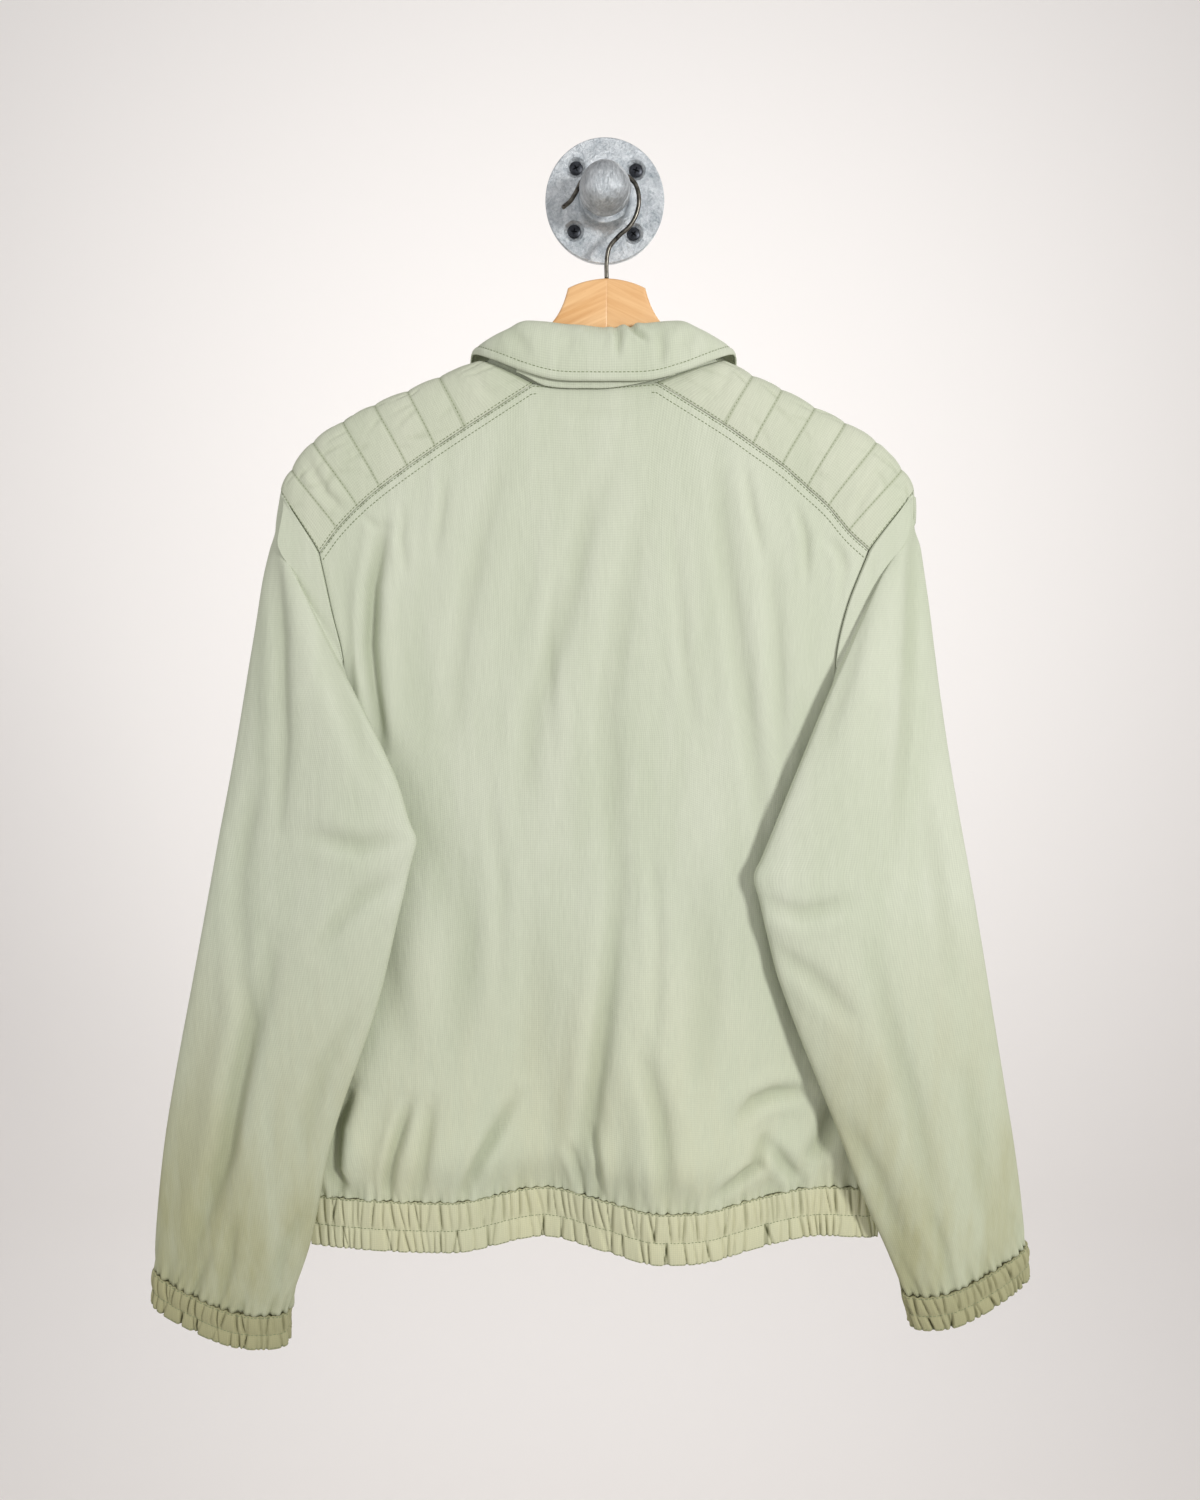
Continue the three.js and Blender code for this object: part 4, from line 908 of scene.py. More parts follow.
cuff = {
    "rows": 18, "step": 0.9, "ruche": 3.0, "spacing": 5.8, "seeds": {"left": 31, "right": 32},
    "flat": (0.32, 0.033),
}
for side in signs:
    length = sleeve[side]["length"]
    edges = cuffs[side]
    share = np.linspace(0, 1, cuff["rows"] + 1)
    dense = np.interp(
        np.linspace(0, 1, int(length / cuff["step"]) + 1), np.linspace(0, 1, len(sleeveShares)), sleeveShares)
    grid = np.array([world(*sleeveRow(side, mix(edges["seamZ"], edges["endZ"], f), dense).T) for f in share])
    around = aroundLength(grid)
    along = around / around[:, -1:] * length
    lower = gatherList(0, length, cuff["spacing"], cuff["seeds"][side])
    v = np.broadcast_to(share[:, None], along.shape)
    height = bandHeight(along, v, sleeve[side]["gathers"], lower, cuff["ruche"])
    edgeFade = ease(along / 12) * ease((length - along) / 12)
    height = height * (0.25 + 0.75 * edgeFade)
    grid, height = asSeen(side == "left", grid, height)
    cloth(
        f"cuff_{side}", grid, walls["band"], height, "ruched_poplin",
        cuff["flat"], "gathered", [f"cloth_sleeve_{side}"],
    )
print("cuffs made")


# Collar: a stand, a fall that turns down over it, and an under layer that shows below.
collar = {
    "columns": 210, "fallRows": 30, "topstitch": 6.5, "reach": 4.5, "halfLength": 170, "standIn": 1.4,
    "standLow": 4, "groove": 0.45, "hem": 0.35, "puckers": (0.5, 5), "underSpan": (-0.27, 0.24),
    "folds": [
        (3.3, 2.6, (7, -94), (10, -103), (9, -118)),
        (3.6, 2.4, (17, -92), (22, -99), (30, -106)),
        (1.8, 4, (38, -98), (41, -112), (40, -126)),
        (1.2, 6, (-30, -94), (-26, -106), (-30, -118)),
        (1.4, 5, (-72, -96), (-60, -108), (-56, -120)),
        (1.4, 5, (66, -98), (58, -110), (60, -122)),
    ],
}


# Moves a line of the collar towards the neck by some millimetres, and up.
def insideNeck(x, t, z, by, lift):
    level = np.clip((form["ridgeT"] - t) / 8, -1, 1)
    across = np.clip((x - collarX) / 30, -1, 1)
    return x - across * by * (1 - 0.5 * np.abs(level)), t + level * by, z + lift


places = np.linspace(-1, 1, collar["columns"] + 1)
ripples = gatherList(-collar["halfLength"], collar["halfLength"], 6, 41)

fold = collarLine(places, "fold")
standTop = insideNeck(*fold, walls["collar"] + collar["standIn"], -walls["collar"] - 1)
standFoot = insideNeck(*neckSeam(places), walls["collar"], -collar["standLow"])
standRows = np.array([
    world(*(mix(a, b, f) for a, b in zip(standTop, standFoot))) for f in np.linspace(0, 1, 11)])
cloth(
    "collar_stand", standRows, walls["cloth"], 0, "sage_poplin",
    (0.45, 0.049), "hung", ["cloth_collar_fall"], 0.0105,
)

edge = collarLine(places, "edge")
fallRows = []
for f in np.linspace(0, 1, collar["fallRows"] + 1):
    out, drop = math.sin(f * math.pi / 2), math.cos(f * math.pi / 2) ** 0.8
    x, t = mix(fold[0], edge[0], out), mix(fold[1], edge[1], out)
    fallRows.append(world(x, t, mix(edge[2], fold[2], drop)))
grid = np.array(fallRows)
toEdge = stepLengths(grid, 0)[::-1].cumsum(axis=0)[::-1]
toEdge = np.vstack((toEdge, np.zeros((1, grid.shape[1]))))
along = places[None, :] * collar["halfLength"]
v = np.linspace(0, 1, len(grid))[:, None]
groove = -collar["groove"] * bell(toEdge - collar["topstitch"], 1.1)
hem = collar["hem"] * ease((collar["topstitch"] - toEdge) / 2)
height = creases(grid[..., 0], grid[..., 2], collar["folds"]) * (np.abs(along) < 80)
fromStitch = np.abs(toEdge - collar["topstitch"])
height += puckers(ripples, np.broadcast_to(along, toEdge.shape), fromStitch, *collar["puckers"])
height = height * ease((1 - np.abs(places[None, :])) / 0.03) + groove + hem
cloth(
    "collar_fall", grid, walls["collar"], height, "sage_poplin",
    (0.52, 0.077), "hung", ["cloth_collar_stand"], 0.0199,
)

near = np.linspace(*collar["underSpan"], 90)
edge = collarLine(near, "edge")
seam = neckSeam(near)
reach = collar["reach"] * ease((near - collar["underSpan"][0]) / 0.1) * (1 - ease(near / 0.2))
x, t = mix(seam[0], edge[0], 0.55), mix(seam[1], edge[1], 0.42) + 0.4
underRows = np.array([world(x, t, mix(edge[2] + 9, edge[2] - reach, f)) for f in np.linspace(0, 1, 9)])
cloth(
    "collar_under", underRows, walls["cloth"], 0, "sage_poplin",
    (0.12, 0.014), "hung", ["cloth_collar_fall"], 0.0014,
)
print("collar made")


# Geometry Nodes: one small bead repeated along paths, for stitches and zip teeth.
def inputOf(group, name):
    return next(i.identifier for i in group.interface.items_tree if i.name == name and i.in_out == "INPUT")


def addNode(tree, kind, inputs=None, **settings):
    node = tree.nodes.new(kind)
    for key, value in settings.items():
        setattr(node, key, value)
    for key, value in (inputs or {}).items():
        if isinstance(value, bpy.types.NodeSocket):
            tree.links.new(value, node.inputs[key])
        else:
            node.inputs[key].default_value = value
    return node


bead = {"segments": 6, "rings": 4, "shortest": 0.85, "longest": 1.1}  # lengths are shares of the set length


def alongPathsTree():
    tree = bpy.data.node_groups.new("along paths", "GeometryNodeTree")
    face = tree.interface
    face.new_socket("Geometry", in_out="INPUT", socket_type="NodeSocketGeometry")
    for name, value in (("pitch", 0.003), ("length", 0.0022), ("thickness", 0.0006)):
        face.new_socket(name, in_out="INPUT", socket_type="NodeSocketFloat").default_value = value
    face.new_socket("seed", in_out="INPUT", socket_type="NodeSocketInt").default_value = 1
    face.new_socket("finish", in_out="INPUT", socket_type="NodeSocketMaterial")
    face.new_socket("Geometry", in_out="OUTPUT", socket_type="NodeSocketGeometry")
    start = addNode(tree, "NodeGroupInput").outputs
    paths = addNode(tree, "GeometryNodeMeshToCurve", inputs={"Mesh": start["Geometry"]})
    even = addNode(tree, "GeometryNodeResampleCurve", mode="LENGTH", inputs={
        "Curve": paths.outputs["Curve"], "Length": start["pitch"]})
    tangent = addNode(tree, "GeometryNodeInputTangent")
    turn = addNode(tree, "FunctionNodeAlignRotationToVector", axis="Z", inputs={"Vector": tangent.outputs[0]})
    ball = addNode(tree, "GeometryNodeMeshUVSphere", inputs={
        "Segments": bead["segments"], "Rings": bead["rings"], "Radius": 0.5})
    wobble = addNode(tree, "FunctionNodeRandomValue", data_type="FLOAT", inputs={"Seed": start["seed"]})
    wobble.inputs[2].default_value, wobble.inputs[3].default_value = bead["shortest"], bead["longest"]
    longer = addNode(
        tree, "ShaderNodeMath", operation="MULTIPLY", inputs={0: start["length"], 1: wobble.outputs[1]})
    size = addNode(tree, "ShaderNodeCombineXYZ", inputs={
        "X": start["thickness"], "Y": start["thickness"], "Z": longer.outputs[0]})
    copies = addNode(tree, "GeometryNodeInstanceOnPoints", inputs={
        "Points": even.outputs["Curve"], "Instance": ball.outputs["Mesh"],
        "Rotation": turn.outputs[0], "Scale": size.outputs[0]})
    real = addNode(tree, "GeometryNodeRealizeInstances", inputs={"Geometry": copies.outputs["Instances"]})
    smooth = addNode(tree, "GeometryNodeSetShadeSmooth", inputs={"Geometry": real.outputs["Geometry"]})
    dressed = addNode(tree, "GeometryNodeSetMaterial", inputs={
        "Geometry": smooth.outputs["Geometry"], "Material": start["finish"]})
    addNode(tree, "NodeGroupOutput", inputs={"Geometry": dressed.outputs["Geometry"]})
    return tree


# Runs a tree on paths given in millimetres and keeps the result as a plain mesh.
def repeatAlong(name, paths, tree, **sizes):
    places, edges = [], []
    for path in paths:
        first = len(places)
        places.extend(path)
        edges.extend((first + k, first + k + 1) for k in range(len(path) - 1))
    guide = bpy.data.meshes.new(name + "_guide")
    guide.from_pydata(np.array(places) * millimetre, edges, [])
    holder = bpy.data.objects.new(name + "_guide", guide)
    scene.collection.objects.link(holder)
    modifier = holder.modifiers.new("repeat", "NODES")
    modifier.node_group = tree
    for key, value in sizes.items():
        modifier[inputOf(tree, key)] = value
    depsgraph = bpy.context.evaluated_depsgraph_get()
    mesh = bpy.data.meshes.new_from_object(holder.evaluated_get(depsgraph), depsgraph=depsgraph)
    mesh.name = name
    holder.modifiers.clear()
    bpy.data.objects.remove(holder)
    piece = bpy.data.objects.new(name, mesh)
    scene.collection.objects.link(piece)
    return piece


# A colour code as the linear values that a shader reads.
def linear(code):
    parts = [int(code[k:k + 2], 16) / 255 for k in (1, 3, 5)]
    return [p / 12.92 if p <= 0.04045 else ((p + 0.055) / 1.055) ** 2.4 for p in parts] + [1.0]


def newFinish(name, **settings):
    finish = bpy.data.materials.new(name)
    finish.use_nodes = True
    tree = finish.node_tree
    shader = next(node for node in tree.nodes if node.type == "BSDF_PRINCIPLED")
    for key, value in settings.items():
        shader.inputs[key].default_value = value
    return finish, tree, shader


def ramp(tree, source, *stops):
    node = addNode(tree, "ShaderNodeValToRGB", inputs={"Fac": source})
    marks = node.color_ramp.elements
    for k, (place, color) in enumerate(stops):
        mark = marks[k] if k < 2 else marks.new(place)
        mark.position = place
        mark.color = color
    return node.outputs["Color"]


def blendColor(tree, factor, a, b, kind="MIX"):
    node = addNode(tree, "ShaderNodeMix", data_type="RGBA", blend_type=kind)
    for k, value in ((0, factor), (6, a), (7, b)):
        if isinstance(value, bpy.types.NodeSocket):
            tree.links.new(value, node.inputs[k])
        else:
            node.inputs[k].default_value = value
    return node.outputs[2]


def sums(tree, operation, a, b):
    return addNode(tree, "ShaderNodeMath", operation=operation, inputs={0: a, 1: b}).outputs[0]


def objectPlaces(tree):
    return addNode(tree, "ShaderNodeTexCoord").outputs["Object"]


def mapped(tree, places, **settings):
    return addNode(tree, "ShaderNodeMapping", inputs={"Vector": places, **settings}).outputs[0]


def noise(tree, places, scale, **settings):
    inputs = {"Vector": places, "Scale": scale, **settings}
    return addNode(tree, "ShaderNodeTexNoise", inputs=inputs).outputs["Fac"]


# Stretches one range of a value over another.
def remap(tree, value, source, target):
    return addNode(tree, "ShaderNodeMapRange", inputs={
        "Value": value, "From Min": source[0], "From Max": source[1],
        "To Min": target[0], "To Max": target[1]}).outputs[0]


# Height as a bump: strength is a share, distance is metres.
def bumps(tree, height, strength, distance, **settings):
    inputs = {"Height": height, "Strength": strength, "Distance": distance, **settings}
    return addNode(tree, "ShaderNodeBump", inputs=inputs).outputs[0]


# A finish whose colour wanders between two tones with a fine noise, and its roughness with it.
def mottled(name, scale, detail, tones, roughness=None, **settings):
    finish, tree, shader = newFinish(name, **settings)
    speckle = noise(tree, objectPlaces(tree), scale, Detail=detail)
    color = ramp(tree, speckle, *((place, linear(code)) for place, code in tones))
    tree.links.new(color, shader.inputs["Base Color"])
    if roughness:
        tree.links.new(remap(tree, speckle, (0, 1), roughness), shader.inputs["Roughness"])
    return finish


def dressed(piece, finish, nodeName, slotName):
    piece.data.materials.clear()
    piece.data.materials.append(finish)
    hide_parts(nodeName)
    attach(piece, "jacket")


# Plain-woven cotton poplin, garment-dyed and washed thin: matt, a faint thread grid, slubs, a yellowed bloom
# towards the hems where it has faded, and painted shade that darkens the creases, gathers and stitched
# grooves. The real threads are 0.3 mm apart, too fine to show, so the grid is drawn at 1.6 mm.
poplin = {
    "main": "#c8cdb9", "deep": "#b9c1a8", "yellowed": "#c2c29a", "thread": 1.6, "weave": 0.09,
    "roughness": 0.85, "sheen": 0.0, "paintedShadeColor": "#838c6b", "rumple": 0.7, "deepest": 0.6,
}


def clothFinish(name, look, hemFade, extraPaintedShade=0.0):
    finish, tree, shader = newFinish(name)
    shader.inputs["Roughness"].default_value = look["roughness"]
    shader.inputs["Sheen Weight"].default_value = look["sheen"]
    shader.inputs["Sheen Roughness"].default_value = 0.6
    shader.inputs["Specular IOR Level"].default_value = 0.25
    places = objectPlaces(tree)
    uv = addNode(tree, "ShaderNodeUVMap", uv_map="cloth").outputs["UV"]
    threads = []
    for turn in (0, math.pi / 2):
        wave = addNode(tree, "ShaderNodeTexWave", wave_type="BANDS", bands_direction="X", inputs={
            "Vector": mapped(tree, uv, Rotation=(0, 0, turn)),
            "Scale": 2 * math.pi / (20 * look["thread"] * millimetre),
            "Distortion": 1.2, "Detail": 2.0, "Detail Scale": 1.5})
        threads.append(wave.outputs["Fac"])
    weave = sums(tree, "MULTIPLY", sums(tree, "ADD", threads[0], threads[1]), 0.5)
    slubs = noise(tree, mapped(tree, uv, Scale=(900, 60, 1)), 1.0, Detail=2.0)
    clouds = noise(tree, mapped(tree, places, Scale=(24, 24, 5)), 1.0, Detail=4.0, Roughness=0.6)
    fine = noise(tree, places, 60.0, Detail=4.0)
    height = addNode(tree, "ShaderNodeSeparateXYZ", inputs={"Vector": places}).outputs["Z"]
    fold = addNode(tree, "ShaderNodeAttribute", attribute_name="fold").outputs["Fac"]
    main = ramp(tree, clouds, (0.3, linear(look["deep"])), (0.62, linear(look["main"])))
    main = blendColor(tree, 0.55, linear(look["main"]), main)
    low = remap(tree, height, (-0.52, -0.80), (0.0, hemFade))
    patchy = sums(tree, "MULTIPLY", low, remap(tree, clouds, (0.36, 0.62), (0.35, 1.0)))
    main = blendColor(tree, patchy, main, linear(look["yellowed"]))
    # Painted shade: where the `fold` attribute says the cloth lies deep, in creases, gathers and stitched
    # grooves, the colour is pulled towards a darker shade tone.
    paintedShadeMix = remap(tree, fold, (0.0, look["deepest"]), (0.0, 0.3 + extraPaintedShade))
    main = blendColor(tree, paintedShadeMix, main, linear(look["paintedShadeColor"]))
    grain = remap(tree, weave, (0, 1), (1 - look["weave"], 1 + look["weave"] * 0.4))
    grain = sums(tree, "MULTIPLY", grain, remap(tree, slubs, (0.3, 0.7), (0.965, 1.03)))
    shade = addNode(tree, "ShaderNodeCombineColor", inputs={"Red": grain, "Green": grain, "Blue": grain})
    color = blendColor(tree, 1.0, main, shade.outputs[0], "MULTIPLY")
    tree.links.new(color, shader.inputs["Base Color"])
    relief = sums(tree, "ADD", sums(tree, "MULTIPLY", weave, 0.35), sums(tree, "MULTIPLY", fine, 1.3))
    threadBump = bumps(tree, relief, 0.35, 0.0006)
    rumple = bumps(tree, clouds, look["rumple"], 0.004, Normal=threadBump)
    tree.links.new(rumple, shader.inputs["Normal"])
    return finish


sagePoplin = clothFinish("washed_cotton_poplin", poplin, 0.55)
# The sleeves turn darker and yellower towards the cuffs than the body does.
sleevePoplin = clothFinish("sleeve_cotton_poplin", {**poplin, "yellowed": "#a3a27a"}, 0.85)
quiltedPoplin = clothFinish("padded_cotton_poplin", {**poplin, "main": "#c6cab5"}, 0.0, extraPaintedShade=0.05)
# The bands and cuffs get much stronger painted shade in the valleys of their gathers.
ruchedLook = {**poplin, "deepest": 0.36}
ruchedPoplin = clothFinish(
    "ruched_cotton_poplin",
    {**ruchedLook, "main": "#cbccb0", "deep": "#b5b796", "yellowed": "#c6c39b", "paintedShadeColor": "#5f6240"},
    0.6, extraPaintedShade=0.6)
# The cuffs are a darker tone all over.
cuffPoplin = clothFinish(
    "worn_ruched_poplin",
    {**ruchedLook, "main": "#a9a886", "deep": "#90906c", "yellowed": "#a19d74", "paintedShadeColor": "#44452a"},
    0.6, extraPaintedShade=0.6)
for node, sheet in sheets.items():
    kinds = {"cuff": cuffPoplin, "waistband": ruchedPoplin, "yoke": quiltedPoplin, "sleeve": sleevePoplin}
    finish = kinds.get(node.split("_")[0], sagePoplin)
    sheet["piece"].data.materials.append(finish)

# Polyester core-spun sewing thread, a shade deeper than the cloth, with a slight lustre.
thread = mottled("core_spun_thread", 400.0, 2.0, ((0.3, "#6c7756"), (0.7, "#87916e")), Roughness=0.55)


# Topstitching: distances from the edges are millimetres, the bead's own sizes are metres.
stitch = {
    "pitch": 0.0030, "length": 0.0023, "thickness": 0.00066, "sink": 0.12,
    "yokeHem": 1.6, "cuffHem": 1.8, "cuffSeam": 1.0, "backSeam": (6.8, 1.4), "frontEdge": 6, "lift": 0.05,
    "bandShares": (0.014, band["stitchShare"], 0.975),
}
repeatTree = alongPathsTree()


# A path on a finished sheet at shares u (left to right as its outside is seen) and v (down).
def onCloth(node, u, v, lift=0.1):
    grid, normals = sheets[node]["grid"], sheets[node]["normals"]
    rows, columns = grid.shape[:2]
    u, v = np.broadcast_arrays(np.asarray(u, float), np.asarray(v, float))
    i, j = np.clip(v, 0, 1) * (rows - 1), np.clip(u, 0, 1) * (columns - 1)
    i0, j0 = np.minimum(i.astype(int), rows - 2), np.minimum(j.astype(int), columns - 2)
    fi, fj = (i - i0)[..., None], (j - j0)[..., None]
    at = lambda a: mix(mix(a[i0, j0], a[i0, j0 + 1], fj), mix(a[i0 + 1, j0], a[i0 + 1, j0 + 1], fj), fi)
    return at(grid) + at(normals) * lift


# A path that keeps a distance, in millimetres, from one edge of a sheet.
def besideEdge(node, edge, distance, start=0.0, end=1.0, count=240):
    runsAcross, isFirst = edge in ("top", "bottom"), edge in ("top", "left")
    grid = sheets[node]["grid"] if runsAcross else sheets[node]["grid"].transpose(1, 0, 2)
    steps = stepLengths(grid, 0)
    steps = steps if isFirst else steps[::-1]
    depth = np.vstack((np.zeros((1, grid.shape[1])), np.cumsum(steps, axis=0)))
    share = [np.interp(distance, line, np.linspace(0, 1, len(depth))) for line in depth.T]
    along = np.linspace(start, end, count)
    share = np.interp(along, np.linspace(0, 1, len(share)), share)
    share = share if isFirst else 1 - share
    return onCloth(node, along, share) if runsAcross else onCloth(node, share, along)


paths = []
for side in signs:
    channels = len(yokeRows[side]) - 1
    for k in range(1, channels + 1):
        u = min(k / channels, 0.992)
        u = 1 - u if side == "left" else u
        paths.append(onCloth(f"yoke_{side}", u, np.linspace(0.02, 0.98, 120), -stitch["sink"]))
    paths.append(besideEdge(f"yoke_{side}", "bottom", stitch["yokeHem"]))
    paths.append(besideEdge(f"cuff_{side}", "bottom", stitch["cuffHem"], 0.02, 0.98))
    paths.append(onCloth(f"cuff_{side}", np.linspace(0.01, 0.99, 400), band["stitchShare"], stitch["lift"]))
    paths.append(besideEdge(f"cuff_{side}", "top", stitch["cuffSeam"], 0.02, 0.98, 400))
columns = backSheet["columns"]
built = crowdEnds(columns, backSheet["crowd"])
reach = np.interp([neckStart, neckEnd], built, np.linspace(0, 1, columns + 1))
outerRow, innerRow = stitch["backSeam"]
paths.append(besideEdge("back_panel", "top", outerRow, 0.01, reach[0] + 0.005))
paths.append(besideEdge("back_panel", "top", outerRow, reach[1] - 0.005, 0.99))
paths.append(besideEdge("back_panel", "top", innerRow, 0.01, 0.99))
paths.append(besideEdge("collar_fall", "bottom", collar["topstitch"], 0.02, 0.98, 300))
for f in stitch["bandShares"]:
    paths.append(onCloth("waistband_back", np.linspace(0.004, 0.996, 900), f, stitch["lift"]))
for node in ("waistband_front_left", "waistband_front_right"):
    paths.append(onCloth(node, np.linspace(0.01, 0.99, 500), band["stitchShare"], stitch["lift"]))
for side in signs:
    paths.append(besideEdge(f"front_{side}", side, stitch["frontEdge"], 0.02, 0.99))
topstitch = repeatAlong(
    "topstitch", paths, repeatTree, pitch=stitch["pitch"], length=stitch["length"],
    thickness=stitch["thickness"], seed=7, finish=thread)
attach(topstitch, "jacket")
print("topstitching made", len(topstitch.data.polygons), "faces")


# Zip: the tapes and the teeth. The slider and the pull keep their CAD shape.
zipDetail = {
    "toothPitch": 0.0028, "toothLength": 0.0019, "toothThickness": 0.0021, "offset": 1.25, "stagger": 1.4,
    "proud": 1.05, "toothLift": 0.25, "tapeInset": 0.2, "topStop": 8, "endStop": 3,
}


def zipT(z):
    return frontT(zipper["x"], z) + walls["band"] + zipDetail["proud"]


zipZ = np.linspace(zipper["topZ"], zipper["endZ"], 140)
# Woven polyester tape: fine herringbone ribs, matt.
tapeFinish, tapeTree, tapeShader = newFinish("woven_polyester_tape", Roughness=0.8)
tapeShader.inputs["Sheen Weight"].default_value = 0.2
tapeUv = addNode(tapeTree, "ShaderNodeUVMap", uv_map="cloth").outputs["UV"]
ribs = addNode(tapeTree, "ShaderNodeTexWave", bands_direction="DIAGONAL", inputs={
    "Vector": tapeUv, "Scale": 140.0, "Distortion": 0.6, "Detail": 1.0})
ribColor = ramp(tapeTree, ribs.outputs["Fac"], (0.1, linear("#969b78")), (0.8, linear("#b1b694")))
tapeTree.links.new(ribColor, tapeShader.inputs["Base Color"])
tapeTree.links.new(bumps(tapeTree, ribs.outputs["Fac"], 0.5, 0.0004), tapeShader.inputs["Normal"])
for side, sign in signs.items():
    node = f"zip_tape_{side}"
    outs = np.linspace(1, 0, 9)
    tapeX = [zipper["x"] + sign * (zipDetail["tapeInset"] + out * zipper["tapeWidth"]) for out in outs]
    grid = np.array([[(x, -zipT(z), z) for x in tapeX] for z in zipZ])
    tape = cloth(
        node, *asSeen(sign < 0, grid), walls["tape"], 0, "zip_tape",
        (0.013, 0.63), "hung", [f"cloth_front_{side}"],
    )
    tape.data.materials.append(tapeFinish)

# Antique-brass finish on zinc alloy: satin, rubbed brighter on the raised faces.
zipMetal = mottled(
    "antique_brass_plate", 700.0, 4.0, ((0.35, "#8d8360"), (0.7, "#c3b88f")), (0.26, 0.44),
    Metallic=1.0, Roughness=0.34)
toothZ = np.linspace(zipper["topZ"] - zipDetail["topStop"], zipper["endZ"] + zipDetail["endStop"], 260)
teethPaths = [
    world(
        zipper["x"] + sign * zipDetail["offset"] + 0 * toothZ, zipT(toothZ) + zipDetail["toothLift"],
        toothZ - (zipDetail["stagger"] if sign > 0 else 0))
    for sign in signs.values()
]
teeth = repeatAlong(
    "zip_teeth", teethPaths + [path - np.array([0, -2.0 * walls["tape"], 0]) for path in teethPaths],
    repeatTree, pitch=zipDetail["toothPitch"], length=zipDetail["toothLength"],
    thickness=zipDetail["toothThickness"], seed=3, finish=zipMetal)
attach(teeth, "jacket")
for node in ("zip_slider", "zip_pull"):
    nodes[node].data.materials.clear()
    nodes[node].data.materials.append(zipMetal)
print("zip made")


# Hanger.
hanger = {"x": 1.3, "t": 27.9, "wall": 10.5, "round": 2.2, "wireR": 1.6, "wireSides": 20, "grainTilt": 24}


def bezier(points, count):
    points = [np.array(point, float) for point in points]
    f = np.linspace(0, 1, count + 1)[1:, None]
    while len(points) > 1:
        points = [a + (b - a) * f for a, b in zip(points[:-1], points[1:])]
    return points[0].tolist()


# One arm's outline as (distance from the middle, z), the same for both sides but for the yoke's ridge.
def hangerOutline(side):
    sign = signs[side]
    ridge = [(sign * (row["ridgeX"] - hanger["x"]), row["ridgeZ"] - 3.5) for row in yokeRows[side][1:6]]
    tipX, tipZ = ridge[-1]
    outline = [(-1.5, -60)]
    outline += bezier([outline[-1], (16, -60.5), (28.5, -67)], 10)
    outline += bezier([outline[-1], (33, -84), (40, -96), (62, -106)], 16)
    spine = np.array([outline[-1], (72, -113), (86, -123)] + ridge)
    outline += splineThrough(spine, np.linspace(0, 1, 40))[1:].tolist()
    outline += bezier([outline[-1], (tipX + 8, tipZ - 6), (tipX + 6, tipZ - 18)], 8)
    outline += bezier([outline[-1], (tipX + 3, tipZ - 24), (tipX - 6, tipZ - 21)], 8)
    outline += bezier([outline[-1], (140, -166), (60, -128), (-1.5, -116)], 30)
    return np.array(outline)


# Beech, planed and lacquered: straight fine grain with short darker flecks, satin. The two halves
# are cut with the grain sloping down and away from the middle joint.
def beechFinish(side):
    finish, tree, shader = newFinish(f"lacquered_beech_{side}", Roughness=0.42)
    shader.inputs["Coat Weight"].default_value = 0.25
    shader.inputs["Coat Roughness"].default_value = 0.3
    sign = signs[side]
    laid = mapped(tree, objectPlaces(tree), Rotation=(0, math.radians(sign * -hanger["grainTilt"]), 0))
    grain = noise(
        tree, mapped(tree, laid, Scale=(14, 90, 260)), 1.0, Detail=5.0, Roughness=0.6, Distortion=0.4)
    flecks = addNode(tree, "ShaderNodeTexVoronoi", inputs={
        "Vector": mapped(tree, laid, Scale=(120, 500, 900)), "Scale": 1.0}).outputs["Distance"]
    wide = noise(tree, mapped(tree, laid, Scale=(5, 30, 55)), 1.0, Detail=2.0)
    color = ramp(tree, grain, (0.32, linear("#cd9558")), (0.66, linear("#ebbf88")))
    color = blendColor(tree, 0.4, color, ramp(tree, wide, (0.3, linear("#d8a264")), (0.7, linear("#f1cb9a"))))
    mark = remap(tree, flecks, (0.0, 0.16), (0.35, 0.0))
    tree.links.new(blendColor(tree, mark, color, linear("#b67c3e")), shader.inputs["Base Color"])
    tree.links.new(bumps(tree, grain, 0.15, 0.0003), shader.inputs["Normal"])
    return finish


for side, sign in signs.items():
    outline = hangerOutline(side)
    count = len(outline)
    half = hanger["wall"] / 2
    x = hanger["x"] + sign * outline[:, 0]
    layers = [world(x, np.full(count, hanger["t"] + depth), outline[:, 1]) for depth in (half, -half)]
    rings = [list(range(count)), list(range(2 * count - 1, count - 1, -1))]
    sides = [[k, k + count, (k + 1) % count + count, (k + 1) % count] for k in range(count)]
    faces = rings + sides
    if sign < 0:
        faces = [face[::-1] for face in faces]
    arm = addMesh(f"hanger_{side}", np.concatenate(layers), faces)
    bevel = arm.modifiers.new("round", "BEVEL")
    bevel.width = hanger["round"] * millimetre
    bevel.segments = 4
    bevel.limit_method = "ANGLE"
    bevel.angle_limit = math.radians(50)
    dressed(arm, beechFinish(side), f"hanger_arm_{side}", "beech")


